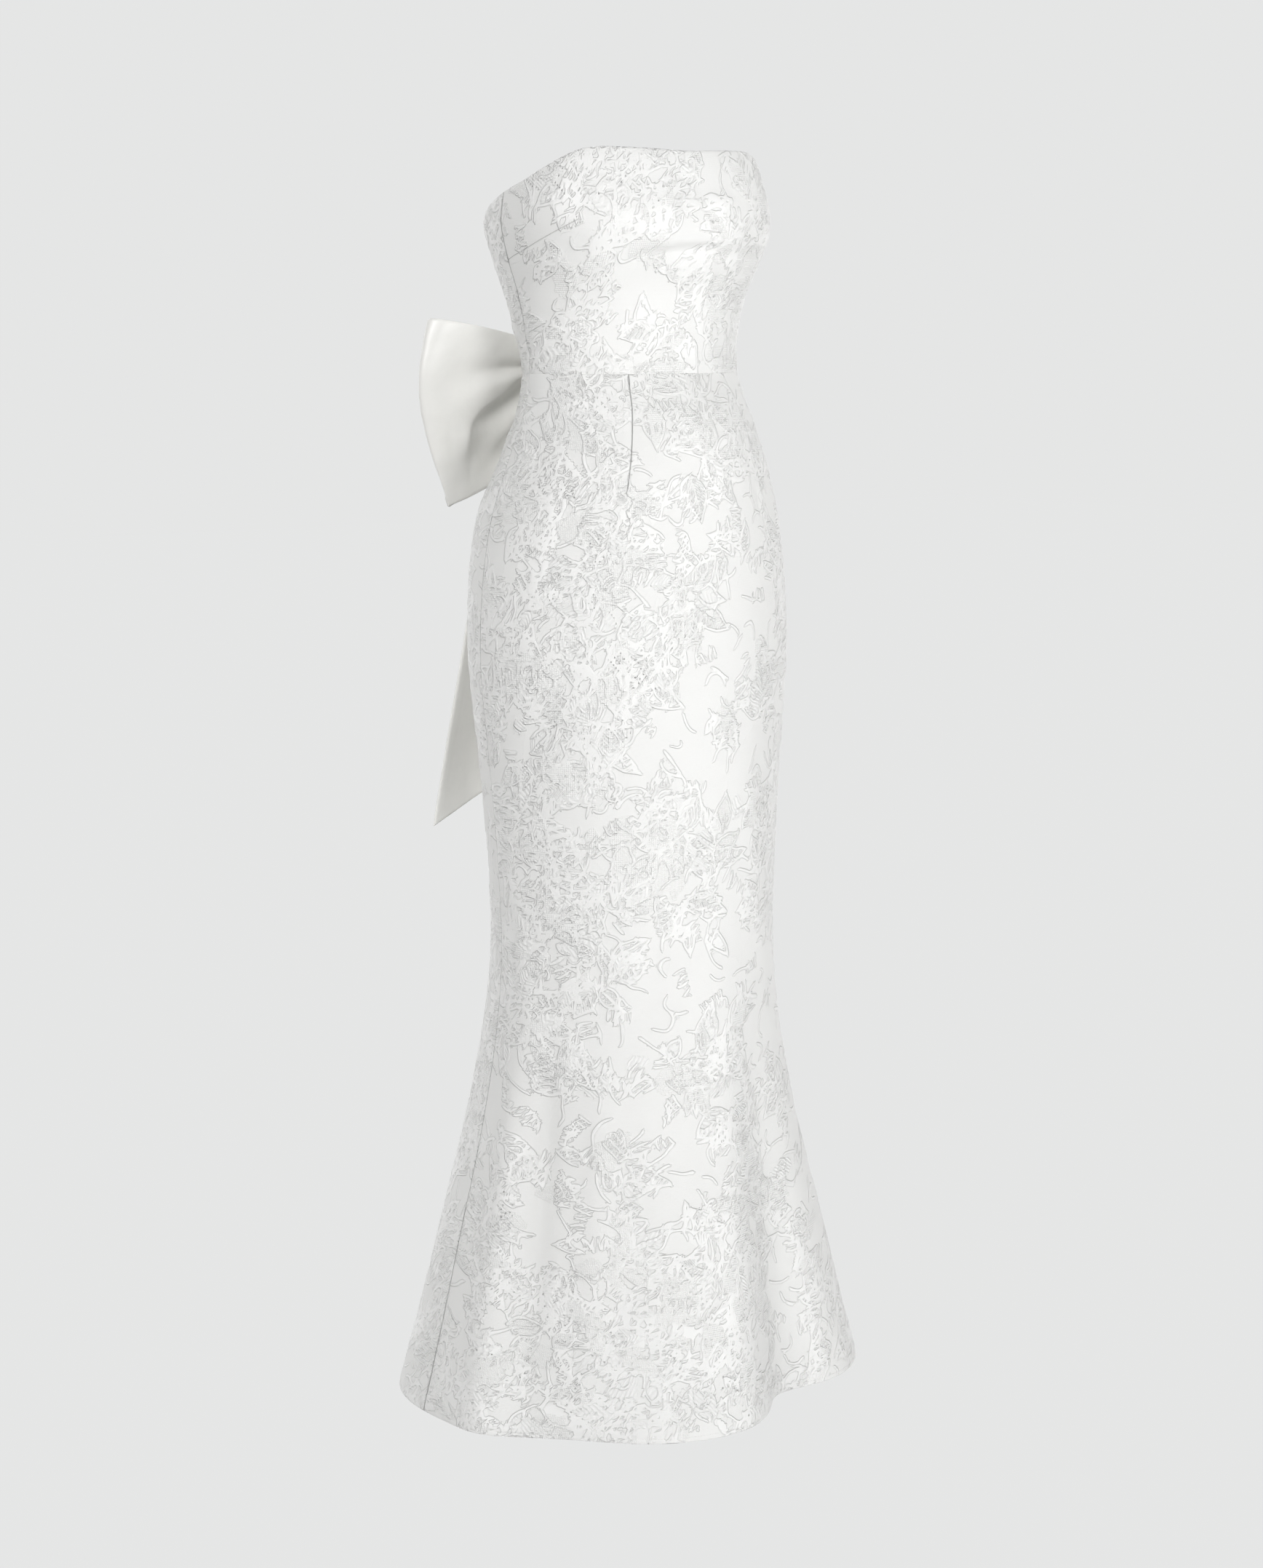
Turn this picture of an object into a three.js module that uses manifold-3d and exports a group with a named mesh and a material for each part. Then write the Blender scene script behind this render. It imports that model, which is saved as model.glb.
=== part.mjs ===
// A strapless mermaid gown of raised jacquard with a satin bow at the back of the waist.
// Millimetres, +Z up. The origin is the middle of the waist, level with the waist seam.
// The front faces -Y, so the wearer's right side is -X and the bow is at +Y.
import * as THREE from "three";
import { mergeVertices } from "three/addons/utils/BufferGeometryUtils.js";
import Module from "manifold-3d";

const wasm = await Module();
wasm.setup();

// Driving dimensions of the gown.
const CLOTH = 1.6; // jacquard with its backing
const SATIN = 1.6; // the bow's faced satin
const SEAM_GAP = 0.3; // between two pieces that meet at a seam
const HEM_Z = -1072;
const SIDE_SEAM = 98; // degrees round from the centre front, a little behind the side
const KNEE_Z = -560; // the flare and its flutes begin here
const ZIP_END_Z = -190;

// The gown's outer form, from the neckline down to the hem. Each row is a level section:
// half its width, its depth before and behind the axis, and how square its front and back are,
// where 2 is an ellipse.
const SECTIONS = [
  { level: "neckline", z: 228, halfWidth: 138, front: 84, back: 128, frontPower: 2.35, backPower: 2.1 },
  { level: "above bust", z: 195, halfWidth: 145, front: 96, back: 137, frontPower: 2.45, backPower: 2.1 },
  { level: "bust", z: 152, halfWidth: 151, front: 106, back: 144, frontPower: 2.5, backPower: 2.1 },
  { level: "under bust", z: 118, halfWidth: 145, front: 98, back: 138, frontPower: 2.4, backPower: 2.05 },
  { level: "ribs", z: 80, halfWidth: 134, front: 84, back: 124, frontPower: 2.1, backPower: 2 },
  { level: "lower ribs", z: 40, halfWidth: 126, front: 79, back: 108, frontPower: 2, backPower: 2 },
  { level: "waist", z: 0, halfWidth: 123, front: 86, back: 91, frontPower: 2, backPower: 2 },
  { level: "below waist", z: -40, halfWidth: 131, front: 108, back: 92, frontPower: 2, backPower: 2 },
  { level: "high hip", z: -90, halfWidth: 149, front: 122, back: 112, frontPower: 2, backPower: 2 },
  { level: "seat", z: -145, halfWidth: 166, front: 126, back: 147, frontPower: 2, backPower: 2 },
  { level: "hip", z: -215, halfWidth: 178, front: 129, back: 151, frontPower: 2, backPower: 2 },
  { level: "thigh", z: -300, halfWidth: 181, front: 130, back: 145, frontPower: 2, backPower: 2 },
  { level: "mid thigh", z: -400, halfWidth: 172, front: 131, back: 133, frontPower: 2, backPower: 2 },
  { level: "above knee", z: -500, halfWidth: 163, front: 132, back: 126, frontPower: 2, backPower: 2 },
  { level: "knee", z: -600, halfWidth: 159, front: 135, back: 127, frontPower: 2, backPower: 2 },
  { level: "below knee", z: -690, halfWidth: 166, front: 142, back: 142, frontPower: 2, backPower: 2 },
  { level: "flare", z: -790, halfWidth: 183, front: 157, back: 166, frontPower: 2, backPower: 2 },
  { level: "calf", z: -890, halfWidth: 206, front: 178, back: 190, frontPower: 2, backPower: 2 },
  { level: "low flare", z: -990, halfWidth: 228, front: 198, back: 216, frontPower: 2, backPower: 2 },
  { level: "hem", z: HEM_Z, halfWidth: 247, front: 215, back: 242, frontPower: 2, backPower: 2 },
];

// The neckline's height at angles round from the centre front, the same on both sides.
const NECKLINE = [
  { angle: 0, z: 222 },
  { angle: 25, z: 224 },
  { angle: 48, z: 222 },
  { angle: 72, z: 204 },
  { angle: 98, z: 181 },
  { angle: 128, z: 158 },
  { angle: 180, z: 144 },
];

// The flare's soft flutes at the hem: where each stands, its width in degrees and how far it
// moves the cloth out. A minus angle is on the wearer's right, and a minus depth is a trough.
const FLUTES = [
  { angle: -112, width: 20, depth: 8 },
  { angle: -74, width: 13, depth: 6 },
  { angle: -50, width: 16, depth: -14 },
  { angle: -16, width: 24, depth: 10 },
  { angle: 22, width: 17, depth: -46 },
  { angle: 70, width: 20, depth: 16 },
  { angle: 116, width: 18, depth: -20 },
  { angle: 150, width: 16, depth: 12 },
  { angle: 180, width: 14, depth: -16 },
  { angle: -148, width: 17, depth: -10 },
];

// The bow. Distances out run from the centre back towards the wearer's side.
const KNOT = {
  halfWidth: 23,
  halfHeight: 25,
  depth: 40, // from the back of the waist to the knot's outer face
  shallower: 0.24, // the share of that depth that is lost at its top and bottom
  round: 0.62, // the power that squares its plan from an ellipse
  clear: 0.6, // off the gown
  columns: 20,
  rows: 10,
};
const LOOP = {
  start: KNOT.halfWidth + SEAM_GAP,
  reach: 169, // to the outer fold, at the middle of the band
  lean: 25, // how much further the fold's top edge reaches
  bulge: 29, // how much the fold rounds back to its two ends
  halfKnot: 17, // half the band's height where it is pinched
  halfFold: 99, // half the band's height at the outer fold
  drop: 43, // how far the fold's middle hangs below the knot
  halfThick: 23, // between the loop's two layers
  closedBelow: 0.35, // how thick it is at its lower edge, against its upper edge
  pinchThick: 5,
  quickOpening: 0.64, // the share of its height that the band gains close to the knot
  away: 118, // from the gown's axis to the middle of the loop
  slope: 0.3, // how much the lower part stands further back
  sweep: 0.05, // how much the outer part stands further back
  fullness: 0.35, // the power that keeps the loop full close to the knot
  pleats: 3,
  pleatDepth: 5,
  pleatFade: 4, // brings the pleats to full depth a third of the way out
};
const TAIL = {
  outerTop: 21,
  outerEnd: 144,
  innerTop: 2,
  innerEnd: 12,
  fan: 0.7, // how soon it widens below the knot
  outerLength: 481, // below the waist seam, at the long point
  innerLength: 421,
  under: 0.7, // below the knot
  clear: 4, // off the skirt
  wave: 5,
};

// Small hard parts of the concealed zip.
const CHAIN = { halfWidth: 3.5, thickness: 1.2, clear: 0.8 };
const SLIDER = { width: 6, height: 9, plate: 2, arch: 3.4, wall: 1.2, archWidth: 1.6, footInset: 0.5 };
const SLIDER_BELOW = 12; // from the neckline to the slider's middle
const PULL = { width: 5.4, waist: 3.9, length: 23, thickness: 1, eyeWidth: 2.8, eyeLength: 6.2, bar: 1 };
const PULL_CORNER = { across: 0.6, down: 1.2 };
const PULL_BAR_Y = -1.6; // below the slider's middle

// Mesh steps.
const STEPS = {
  frontColumns: 32,
  backColumns: 13,
  bodiceRows: 11,
  skirtRows: 26,
  closerAtWaist: 1.45, // how much closer the skirt's rows lie at the waist than at the hem
  loopColumns: 22,
  loopRows: 12,
  tailColumns: 6,
  tailRows: 14,
};

const radians = THREE.MathUtils.degToRad;

// Reads a table at a place between its rows, as a smooth curve through them.
function smoothRead(table, key, place, field) {
  const rising = table[1][key] > table[0][key];
  const last = table.length - 1;
  let i = table.findIndex((row) => (rising ? row[key] > place : row[key] < place)) - 1;
  if (i === -2) i = last - 1;
  i = Math.max(0, i);
  const slope = (n) => {
    const low = Math.max(0, n - 1);
    const high = Math.min(last, n + 1);
    return (table[high][field] - table[low][field]) / (table[high][key] - table[low][key]);
  };
  const span = table[i + 1][key] - table[i][key];
  const t = THREE.MathUtils.clamp((place - table[i][key]) / span, 0, 1);
  const start = table[i][field];
  const end = table[i + 1][field];
  return (
    start * (2 * t ** 3 - 3 * t ** 2 + 1) +
    end * (3 * t ** 2 - 2 * t ** 3) +
    slope(i) * span * (t ** 3 - 2 * t ** 2 + t) +
    slope(i + 1) * span * (t ** 3 - t ** 2)
  );
}

const power = (value, exponent) => Math.sign(value) * Math.abs(value) ** exponent;

// How far the flutes move the cloth out at an angle and height.
function fluteOut(angle, z) {
  const down = THREE.MathUtils.clamp((KNEE_Z - z) / (KNEE_Z - HEM_Z), 0, 1);
  let out = 0;
  for (const flute of FLUTES) {
    const apart = THREE.MathUtils.euclideanModulo(angle - flute.angle + 180, 360) - 180;
    out += flute.depth * Math.exp(-((apart / flute.width) ** 2));
  }
  return out * down ** 1.5;
}

// The point of the gown's outer face at an angle in degrees round from the centre front,
// positive towards the wearer's left, and a height.
function gownPoint(angle, z) {
  const turn = radians(angle);
  const [sine, cosine] = [Math.sin(turn), Math.cos(turn)];
  const half = smoothRead(SECTIONS, "z", z, "halfWidth");
  const side = cosine > 0 ? "front" : "back";
  const depth = smoothRead(SECTIONS, "z", z, side);
  const exponent = 2 / smoothRead(SECTIONS, "z", z, side + "Power");
  const flute = fluteOut(angle, z);
  return new THREE.Vector3(
    half * power(sine, exponent) + flute * sine,
    -depth * power(cosine, exponent) - flute * cosine,
    z,
  );
}

function necklineZ(angle) {
  const turned = Math.abs(THREE.MathUtils.euclideanModulo(angle + 180, 360) - 180);
  return smoothRead(NECKLINE, "angle", turned, "z");
}

// The outward normal of a surface at u and v, where u runs right and v runs up seen from outside.
function normalAt(surface, u, v) {
  const step = 1e-3;
  const across = surface(u + step, v).sub(surface(u - step, v));
  const up = surface(u, v + step).sub(surface(u, v - step));
  return across.cross(up).normalize();
}

function geometryFrom(points, faces) {
  const geometry = new THREE.BufferGeometry();
  geometry.setAttribute("position", new THREE.Float32BufferAttribute(points, 3));
  geometry.setIndex(faces);
  geometry.computeVertexNormals();
  return geometry;
}

// A closed wall of cloth whose outer face is surface(u, v), with u and v from 0 to 1.
function clothWall(surface, columns, rows, thickness) {
  const points = [];
  const faces = [];
  const number = (layer, column, row) => (layer * (rows + 1) + row) * (columns + 1) + column;
  for (const layer of [0, 1])
    for (let row = 0; row <= rows; row++)
      for (let column = 0; column <= columns; column++) {
        const [u, v] = [column / columns, row / rows];
        const point = surface(u, v).addScaledVector(normalAt(surface, u, v), -layer * thickness);
        points.push(point.x, point.y, point.z);
      }
  const quad = (a, b, c, d) => faces.push(a, b, c, a, c, d);
  for (let row = 0; row < rows; row++)
    for (let column = 0; column < columns; column++) {
      const corners = [
        [column, row],
        [column + 1, row],
        [column + 1, row + 1],
        [column, row + 1],
      ];
      quad(...corners.map(([i, j]) => number(0, i, j)));
      quad(...corners.reverse().map(([i, j]) => number(1, i, j)));
    }
  for (let column = 0; column < columns; column++) {
    quad(number(0, column + 1, 0), number(0, column, 0), number(1, column, 0), number(1, column + 1, 0));
    const [left, right] = [column, column + 1];
    quad(number(0, left, rows), number(0, right, rows), number(1, right, rows), number(1, left, rows));
  }
  for (let row = 0; row < rows; row++) {
    quad(number(0, 0, row), number(0, 0, row + 1), number(1, 0, row + 1), number(1, 0, row));
    const [low, high] = [row, row + 1];
    quad(number(0, columns, high), number(0, columns, low), number(1, columns, low), number(1, columns, high));
  }
  return geometryFrom(points, faces);
}

// The angle at a share of the way across a panel, with half a seam gap left at both its edges.
function panelAngle(from, to, share, z) {
  const half = smoothRead(SECTIONS, "z", z, "halfWidth");
  const gap = THREE.MathUtils.radToDeg(SEAM_GAP / 2 / half);
  return THREE.MathUtils.lerp(from + gap, to - gap, share);
}

// A bodice panel, from the waist seam up to the neckline.
const bodiceHeight = (angle, up) => THREE.MathUtils.lerp(SEAM_GAP / 2, necklineZ(angle), up);

function bodicePanel(from, to, columns) {
  const surface = (u, v) => {
    const angle = panelAngle(from, to, u, 0);
    return gownPoint(angle, bodiceHeight(angle, v));
  };
  return clothWall(surface, columns, STEPS.bodiceRows, CLOTH);
}

// A skirt panel, from the hem up to the waist seam.
function skirtHeight(down) {
  return THREE.MathUtils.lerp(-SEAM_GAP / 2, HEM_Z, power(down, STEPS.closerAtWaist));
}

function skirtPanel(from, to, columns) {
  const surface = (u, v) => {
    const z = skirtHeight(1 - v);
    return gownPoint(panelAngle(from, to, u, z), z);
  };
  return clothWall(surface, columns, STEPS.skirtRows, CLOTH);
}

// The heights of the panels' rows down the centre back, from the neckline to the hem.
const ROW_HEIGHTS = [
  ...Array.from({ length: STEPS.bodiceRows + 1 }, (_, i) => bodiceHeight(180, 1 - i / STEPS.bodiceRows)),
  ...Array.from({ length: STEPS.skirtRows + 1 }, (_, i) => skirtHeight(i / STEPS.skirtRows)),
];

// How far back the centre back stands at a height, straight from row to row as the panels are.
function centreBack(z) {
  const below = Math.max(1, ROW_HEIGHTS.findIndex((height) => height <= z));
  const [high, low] = [ROW_HEIGHTS[below - 1], ROW_HEIGHTS[below]];
  const share = (high - z) / (high - low);
  return THREE.MathUtils.lerp(gownPoint(180, high).y, gownPoint(180, low).y, share);
}

// One loop of the bow, on the wearer's left for side 1 and right for side -1. The band leaves
// the knot, rounds the outer fold and comes back, with u along it and v up it.
function loopPoint(side, u, v) {
  const across = 2 * v - 1;
  const turn = 2 * Math.PI * u;
  const along = (1 - Math.cos(turn)) / 2;
  const fold = LOOP.reach + LOOP.lean * across - LOOP.bulge * across ** 2;
  const opened = THREE.MathUtils.lerp(along, 1 - (1 - along) ** 5, LOOP.quickOpening);
  const half = THREE.MathUtils.lerp(LOOP.halfKnot, LOOP.halfFold, opened);
  const z = half * across - LOOP.drop * opened;
  const layer = Math.sign(Math.cos(turn / 2));
  const thick = LOOP.halfThick * THREE.MathUtils.lerp(LOOP.closedBelow, 1, v);
  const belly = thick * Math.sin(turn) * along ** LOOP.fullness;
  const pinch = LOOP.pinchThick * Math.cos(turn / 2) ** 2 * layer;
  const fade = LOOP.pleatFade * along * (1 - along) ** 2;
  const pleat = LOOP.pleatDepth * Math.cos(LOOP.pleats * Math.PI * across) * fade;
  const out = LOOP.start + (fold - LOOP.start) * along;
  const back = LOOP.away + LOOP.slope * Math.max(0, -z) + LOOP.sweep * out;
  return new THREE.Vector3(side * out, back + belly + pinch + pleat, z);
}

function bowLoop(side) {
  const surface = (u, v) => loopPoint(side, side > 0 ? 1 - u : u, v);
  return clothWall(surface, STEPS.loopColumns, STEPS.loopRows, SATIN);
}

// How far behind the axis a tail hangs: down the skirt's centre back, then straight from the seat.
function tailBack(z) {
  return centreBack(Math.max(z, -215)) + TAIL.clear + SATIN;
}

function bowTail(side) {
  const surface = (u, v) => {
    const outward = side > 0 ? 1 - u : u;
    const share = 1 - v;
    const end = THREE.MathUtils.lerp(TAIL.outerLength, TAIL.innerLength, outward);
    const top = KNOT.halfHeight + TAIL.under;
    const z = -THREE.MathUtils.lerp(top, end, share);
    const outer = THREE.MathUtils.lerp(TAIL.outerTop, TAIL.outerEnd, power(share, TAIL.fan));
    const inner = THREE.MathUtils.lerp(TAIL.innerTop, TAIL.innerEnd, share);
    const out = THREE.MathUtils.lerp(outer, inner, outward);
    const wave = TAIL.wave * share * (1 - Math.cos(2 * Math.PI * outward)) * 0.5;
    return new THREE.Vector3(side * out, tailBack(z) + wave, z);
  };
  return clothWall(surface, STEPS.tailColumns, STEPS.tailRows, SATIN);
}

// The knot: a rounded barrel of wrapped satin whose inner face follows the gown's back.
function bowKnot() {
  const { columns, rows } = KNOT;
  const points = [];
  const faces = [];
  for (let row = 0; row <= rows; row++) {
    const z = THREE.MathUtils.lerp(-KNOT.halfHeight, KNOT.halfHeight, row / rows);
    const outer = centreBack(0) + KNOT.depth * (1 - KNOT.shallower * (z / KNOT.halfHeight) ** 2);
    for (let column = 0; column < columns; column++) {
      const turn = (2 * Math.PI * column) / columns;
      const x = KNOT.halfWidth * power(Math.cos(turn), KNOT.round);
      const angle = 180 - THREE.MathUtils.radToDeg(Math.asin(x / gownPoint(90, z).x));
      const inner = gownPoint(angle, z).y + KNOT.clear;
      const outward = (power(Math.sin(turn), KNOT.round) + 1) / 2;
      points.push(x, THREE.MathUtils.lerp(inner, outer, outward), z);
    }
  }
  const number = (column, row) => row * columns + (column % columns);
  for (let row = 0; row < rows; row++)
    for (let column = 0; column < columns; column++) {
      const [a, b] = [number(column, row), number(column + 1, row)];
      const [c, d] = [number(column + 1, row + 1), number(column, row + 1)];
      faces.push(a, b, c, a, c, d);
    }
  for (let column = 1; column < columns - 1; column++) {
    faces.push(number(0, 0), number(column + 1, 0), number(column, 0));
    faces.push(number(0, rows), number(column, rows), number(column + 1, rows));
  }
  return geometryFrom(points, faces);
}

// The zip's closed chain, a strip inside the centre back seam.
function zipChain() {
  const top = necklineZ(180) - SLIDER_BELOW;
  const heights = [top, ...ROW_HEIGHTS.filter((z) => z < top && z > ZIP_END_Z), ZIP_END_Z].reverse();
  const last = heights.length - 1;
  const surface = (u, v) => {
    const row = THREE.MathUtils.clamp(Math.floor(v * last), 0, last - 1);
    const z = THREE.MathUtils.lerp(heights[row], heights[row + 1], v * last - row);
    const x = THREE.MathUtils.lerp(CHAIN.halfWidth, -CHAIN.halfWidth, u);
    return new THREE.Vector3(x, centreBack(z) - CLOTH - CHAIN.clear, z);
  };
  return clothWall(surface, 1, last, CHAIN.thickness);
}

function solidOf(geometry) {
  const bare = geometry.clone();
  for (const name of ["normal", "uv"]) bare.deleteAttribute(name);
  const merged = mergeVertices(bare, 1e-4);
  return new wasm.Manifold(
    new wasm.Mesh({
      numProp: 3,
      vertProperties: merged.attributes.position.array,
      triVerts: new Uint32Array(merged.index.array),
    }),
  );
}

function geometryOf(solid) {
  const mesh = solid.getMesh();
  return geometryFrom(mesh.vertProperties, Array.from(mesh.triVerts));
}

// The slider's frame: at the top of the zip on the gown's outer face, with its own +Z pointing
// straight out of the cloth and its +Y up the zip.
function sliderFrame() {
  const z = necklineZ(180) - SLIDER_BELOW;
  const [low, high] = [gownPoint(180, z - 3), gownPoint(180, z + 3)];
  const up = high.sub(low).normalize();
  const right = new THREE.Vector3(-1, 0, 0);
  const out = right.clone().cross(up);
  const seat = gownPoint(180, z).addScaledVector(out, SEAM_GAP + SLIDER.plate);
  return new THREE.Matrix4().makeBasis(right, up, out).setPosition(seat);
}

// Plate and arch, with the plate's outer face at z = 0 in the slider's frame.
function zipSlider() {
  const plate = new THREE.BoxGeometry(SLIDER.width, SLIDER.height, SLIDER.plate);
  plate.translate(0, 0, -SLIDER.plate / 2);
  const outline = new THREE.Shape();
  const foot = SLIDER.height / 2 - SLIDER.footInset;
  const shoulder = SLIDER.arch * 0.15;
  const flat = foot * 0.35;
  outline.moveTo(-foot, -SLIDER.plate / 2);
  outline.lineTo(-foot, shoulder);
  outline.quadraticCurveTo(-foot, SLIDER.arch, -flat, SLIDER.arch);
  outline.lineTo(flat, SLIDER.arch);
  outline.quadraticCurveTo(foot, SLIDER.arch, foot, shoulder);
  outline.lineTo(foot, -SLIDER.plate / 2);
  const hole = new THREE.Path();
  const inner = foot - SLIDER.wall;
  const under = SLIDER.arch - SLIDER.wall;
  hole.moveTo(-inner, 0);
  hole.lineTo(inner, 0);
  hole.lineTo(inner, under / 2);
  hole.lineTo(inner / 2, under);
  hole.lineTo(-inner / 2, under);
  hole.lineTo(-inner, under / 2);
  outline.holes.push(hole);
  const arch = new THREE.ExtrudeGeometry(outline, {
    depth: SLIDER.archWidth,
    bevelEnabled: false,
    curveSegments: 5,
  });
  arch.translate(0, 0, -SLIDER.archWidth / 2);
  arch.applyMatrix4(
    new THREE.Matrix4().makeBasis(
      new THREE.Vector3(0, 1, 0),
      new THREE.Vector3(0, 0, 1),
      new THREE.Vector3(1, 0, 0),
    ),
  );
  return geometryOf(solidOf(plate).add(solidOf(arch)));
}

// Where the pull's bar turns, in the slider's frame.
const PULL_AXIS = new THREE.Vector3(0, PULL_BAR_Y, (SLIDER.arch - SLIDER.wall) / 2);

// The pull: a rounded tab that hangs from its bar, with its top edge round the arch.
function zipPull() {
  const outline = new THREE.Shape();
  const half = PULL.width / 2;
  const top = PULL.bar / 2;
  outline.moveTo(PULL_CORNER.across - half, top);
  outline.lineTo(-half, top - PULL_CORNER.down);
  outline.lineTo(-PULL.waist / 2, -PULL.length / 2);
  outline.lineTo(-half, half - PULL.length);
  outline.absarc(0, half - PULL.length, half, Math.PI, 2 * Math.PI, false);
  outline.lineTo(PULL.waist / 2, -PULL.length / 2);
  outline.lineTo(half, top - PULL_CORNER.down);
  outline.lineTo(half - PULL_CORNER.across, top);
  const eye = new THREE.Path();
  const eyeHalf = PULL.eyeWidth / 2;
  eye.moveTo(-eyeHalf, -top);
  eye.lineTo(eyeHalf, -top);
  eye.lineTo(eyeHalf, -PULL.eyeLength);
  eye.lineTo(-eyeHalf, -PULL.eyeLength);
  outline.holes.push(eye);
  const geometry = new THREE.ExtrudeGeometry(outline, {
    depth: PULL.thickness,
    bevelEnabled: false,
    curveSegments: 6,
  });
  return geometry.translate(0, 0, -PULL.thickness / 2);
}

const jacquard = new THREE.MeshStandardMaterial({ color: 0xf3f3f1, roughness: 0.62, metalness: 0 });
const satin = new THREE.MeshStandardMaterial({ color: 0xf1f0ea, roughness: 0.42, metalness: 0 });
const tape = new THREE.MeshStandardMaterial({ color: 0xefefec, roughness: 0.7, metalness: 0 });
const enamel = new THREE.MeshStandardMaterial({ color: 0xf0f0ee, roughness: 0.3, metalness: 0.1 });

const gown = new THREE.Group();

function addPiece(name, geometry, material) {
  const mesh = new THREE.Mesh(geometry, material);
  mesh.name = name;
  gown.add(mesh);
  return mesh;
}

addPiece("bodice_front", bodicePanel(-SIDE_SEAM, SIDE_SEAM, STEPS.frontColumns), jacquard);
addPiece("bodice_back_left", bodicePanel(SIDE_SEAM, 180, STEPS.backColumns), jacquard);
addPiece("bodice_back_right", bodicePanel(180, 360 - SIDE_SEAM, STEPS.backColumns), jacquard);
addPiece("skirt_front", skirtPanel(-SIDE_SEAM, SIDE_SEAM, STEPS.frontColumns), jacquard);
addPiece("skirt_back_left", skirtPanel(SIDE_SEAM, 180, STEPS.backColumns), jacquard);
addPiece("skirt_back_right", skirtPanel(180, 360 - SIDE_SEAM, STEPS.backColumns), jacquard);
for (const [word, side] of [
  ["left", 1],
  ["right", -1],
]) {
  addPiece("bow_loop_" + word, bowLoop(side), satin);
  addPiece("bow_tail_" + word, bowTail(side), satin);
}
addPiece("bow_knot", bowKnot(), satin);
addPiece("zip_chain", zipChain(), tape);

const sliderPlace = sliderFrame();
addPiece("zip_slider", zipSlider(), enamel).applyMatrix4(sliderPlace);
const pull = addPiece("zip_pull", zipPull(), enamel);
pull.rotation.set(Math.PI / 2, 0, Math.PI, "ZXY");
pull.position.copy(PULL_AXIS.clone().applyMatrix4(sliderPlace));

export default gown;
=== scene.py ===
"""A strapless mermaid gown of raised jacquard with a satin bow at the back of the waist.

Everything is in metres, +Z up. The origin is the middle of the waist, the front faces -Y and
the bow is at +Y. The gown's panels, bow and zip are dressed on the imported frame.
"""

import math
import random
from typing import NamedTuple

import bmesh
import bpy
import numpy as np
from mathutils import Matrix, Vector


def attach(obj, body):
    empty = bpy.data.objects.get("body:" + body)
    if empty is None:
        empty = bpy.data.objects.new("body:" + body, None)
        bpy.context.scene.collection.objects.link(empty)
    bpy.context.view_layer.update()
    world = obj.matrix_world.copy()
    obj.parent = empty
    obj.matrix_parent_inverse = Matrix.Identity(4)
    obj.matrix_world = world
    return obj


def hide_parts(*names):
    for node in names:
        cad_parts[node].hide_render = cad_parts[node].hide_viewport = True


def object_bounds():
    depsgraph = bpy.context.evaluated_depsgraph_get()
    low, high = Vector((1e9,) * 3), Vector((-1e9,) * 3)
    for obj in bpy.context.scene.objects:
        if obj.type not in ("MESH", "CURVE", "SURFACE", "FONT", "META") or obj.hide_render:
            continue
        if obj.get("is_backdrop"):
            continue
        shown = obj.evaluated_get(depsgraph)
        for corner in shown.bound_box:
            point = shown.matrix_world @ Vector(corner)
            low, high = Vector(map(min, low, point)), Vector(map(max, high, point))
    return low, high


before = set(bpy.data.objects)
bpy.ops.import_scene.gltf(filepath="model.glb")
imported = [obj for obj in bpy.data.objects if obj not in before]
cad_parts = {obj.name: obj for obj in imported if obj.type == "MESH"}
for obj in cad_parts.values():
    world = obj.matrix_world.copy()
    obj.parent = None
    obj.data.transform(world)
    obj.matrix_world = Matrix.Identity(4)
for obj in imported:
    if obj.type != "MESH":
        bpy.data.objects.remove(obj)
FRAME_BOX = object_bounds()

bl_info = {
    "name": "Mermaid gown",
    "version": (1, 0, 0),
    "blender": (4, 5, 0),
    "location": "3D View > Sidebar > Gown",
    "description": "Builds the cloth, bow, zip and studio of a strapless mermaid gown",
    "category": "Object",
}


class Section(NamedTuple):
    """A level section of the gown, with how square its front and back are (2 is an ellipse)."""

    level: str
    z: float
    half_width: float
    front: float
    back: float
    front_power: float = 2
    back_power: float = 2


SECTIONS = (
    Section("neckline", 0.228, 0.138, 0.084, 0.128, 2.35, 2.1),
    Section("above bust", 0.195, 0.145, 0.096, 0.137, 2.45, 2.1),
    Section("bust", 0.152, 0.151, 0.106, 0.144, 2.5, 2.1),
    Section("under bust", 0.118, 0.145, 0.098, 0.138, 2.4, 2.05),
    Section("ribs", 0.080, 0.134, 0.084, 0.124, 2.1),
    Section("lower ribs", 0.040, 0.126, 0.079, 0.108),
    Section("waist", 0, 0.123, 0.086, 0.091),
    Section("below waist", -0.040, 0.131, 0.108, 0.092),
    Section("high hip", -0.090, 0.149, 0.122, 0.112),
    Section("seat", -0.145, 0.166, 0.126, 0.147),
    Section("hip", -0.215, 0.178, 0.129, 0.151),
    Section("thigh", -0.300, 0.181, 0.130, 0.145),
    Section("mid thigh", -0.400, 0.172, 0.131, 0.133),
    Section("above knee", -0.500, 0.163, 0.132, 0.126),
    Section("knee", -0.600, 0.159, 0.135, 0.127),
    Section("below knee", -0.690, 0.166, 0.142, 0.142),
    Section("flare", -0.790, 0.183, 0.157, 0.166),
    Section("calf", -0.890, 0.206, 0.178, 0.190),
    Section("low flare", -0.990, 0.228, 0.198, 0.216),
    Section("hem", -1.072, 0.247, 0.215, 0.242),
)


class Flute(NamedTuple):
    """A soft flute of the flare: its angle from the centre front, its width and its depth."""

    angle: float
    width: float
    depth: float


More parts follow.
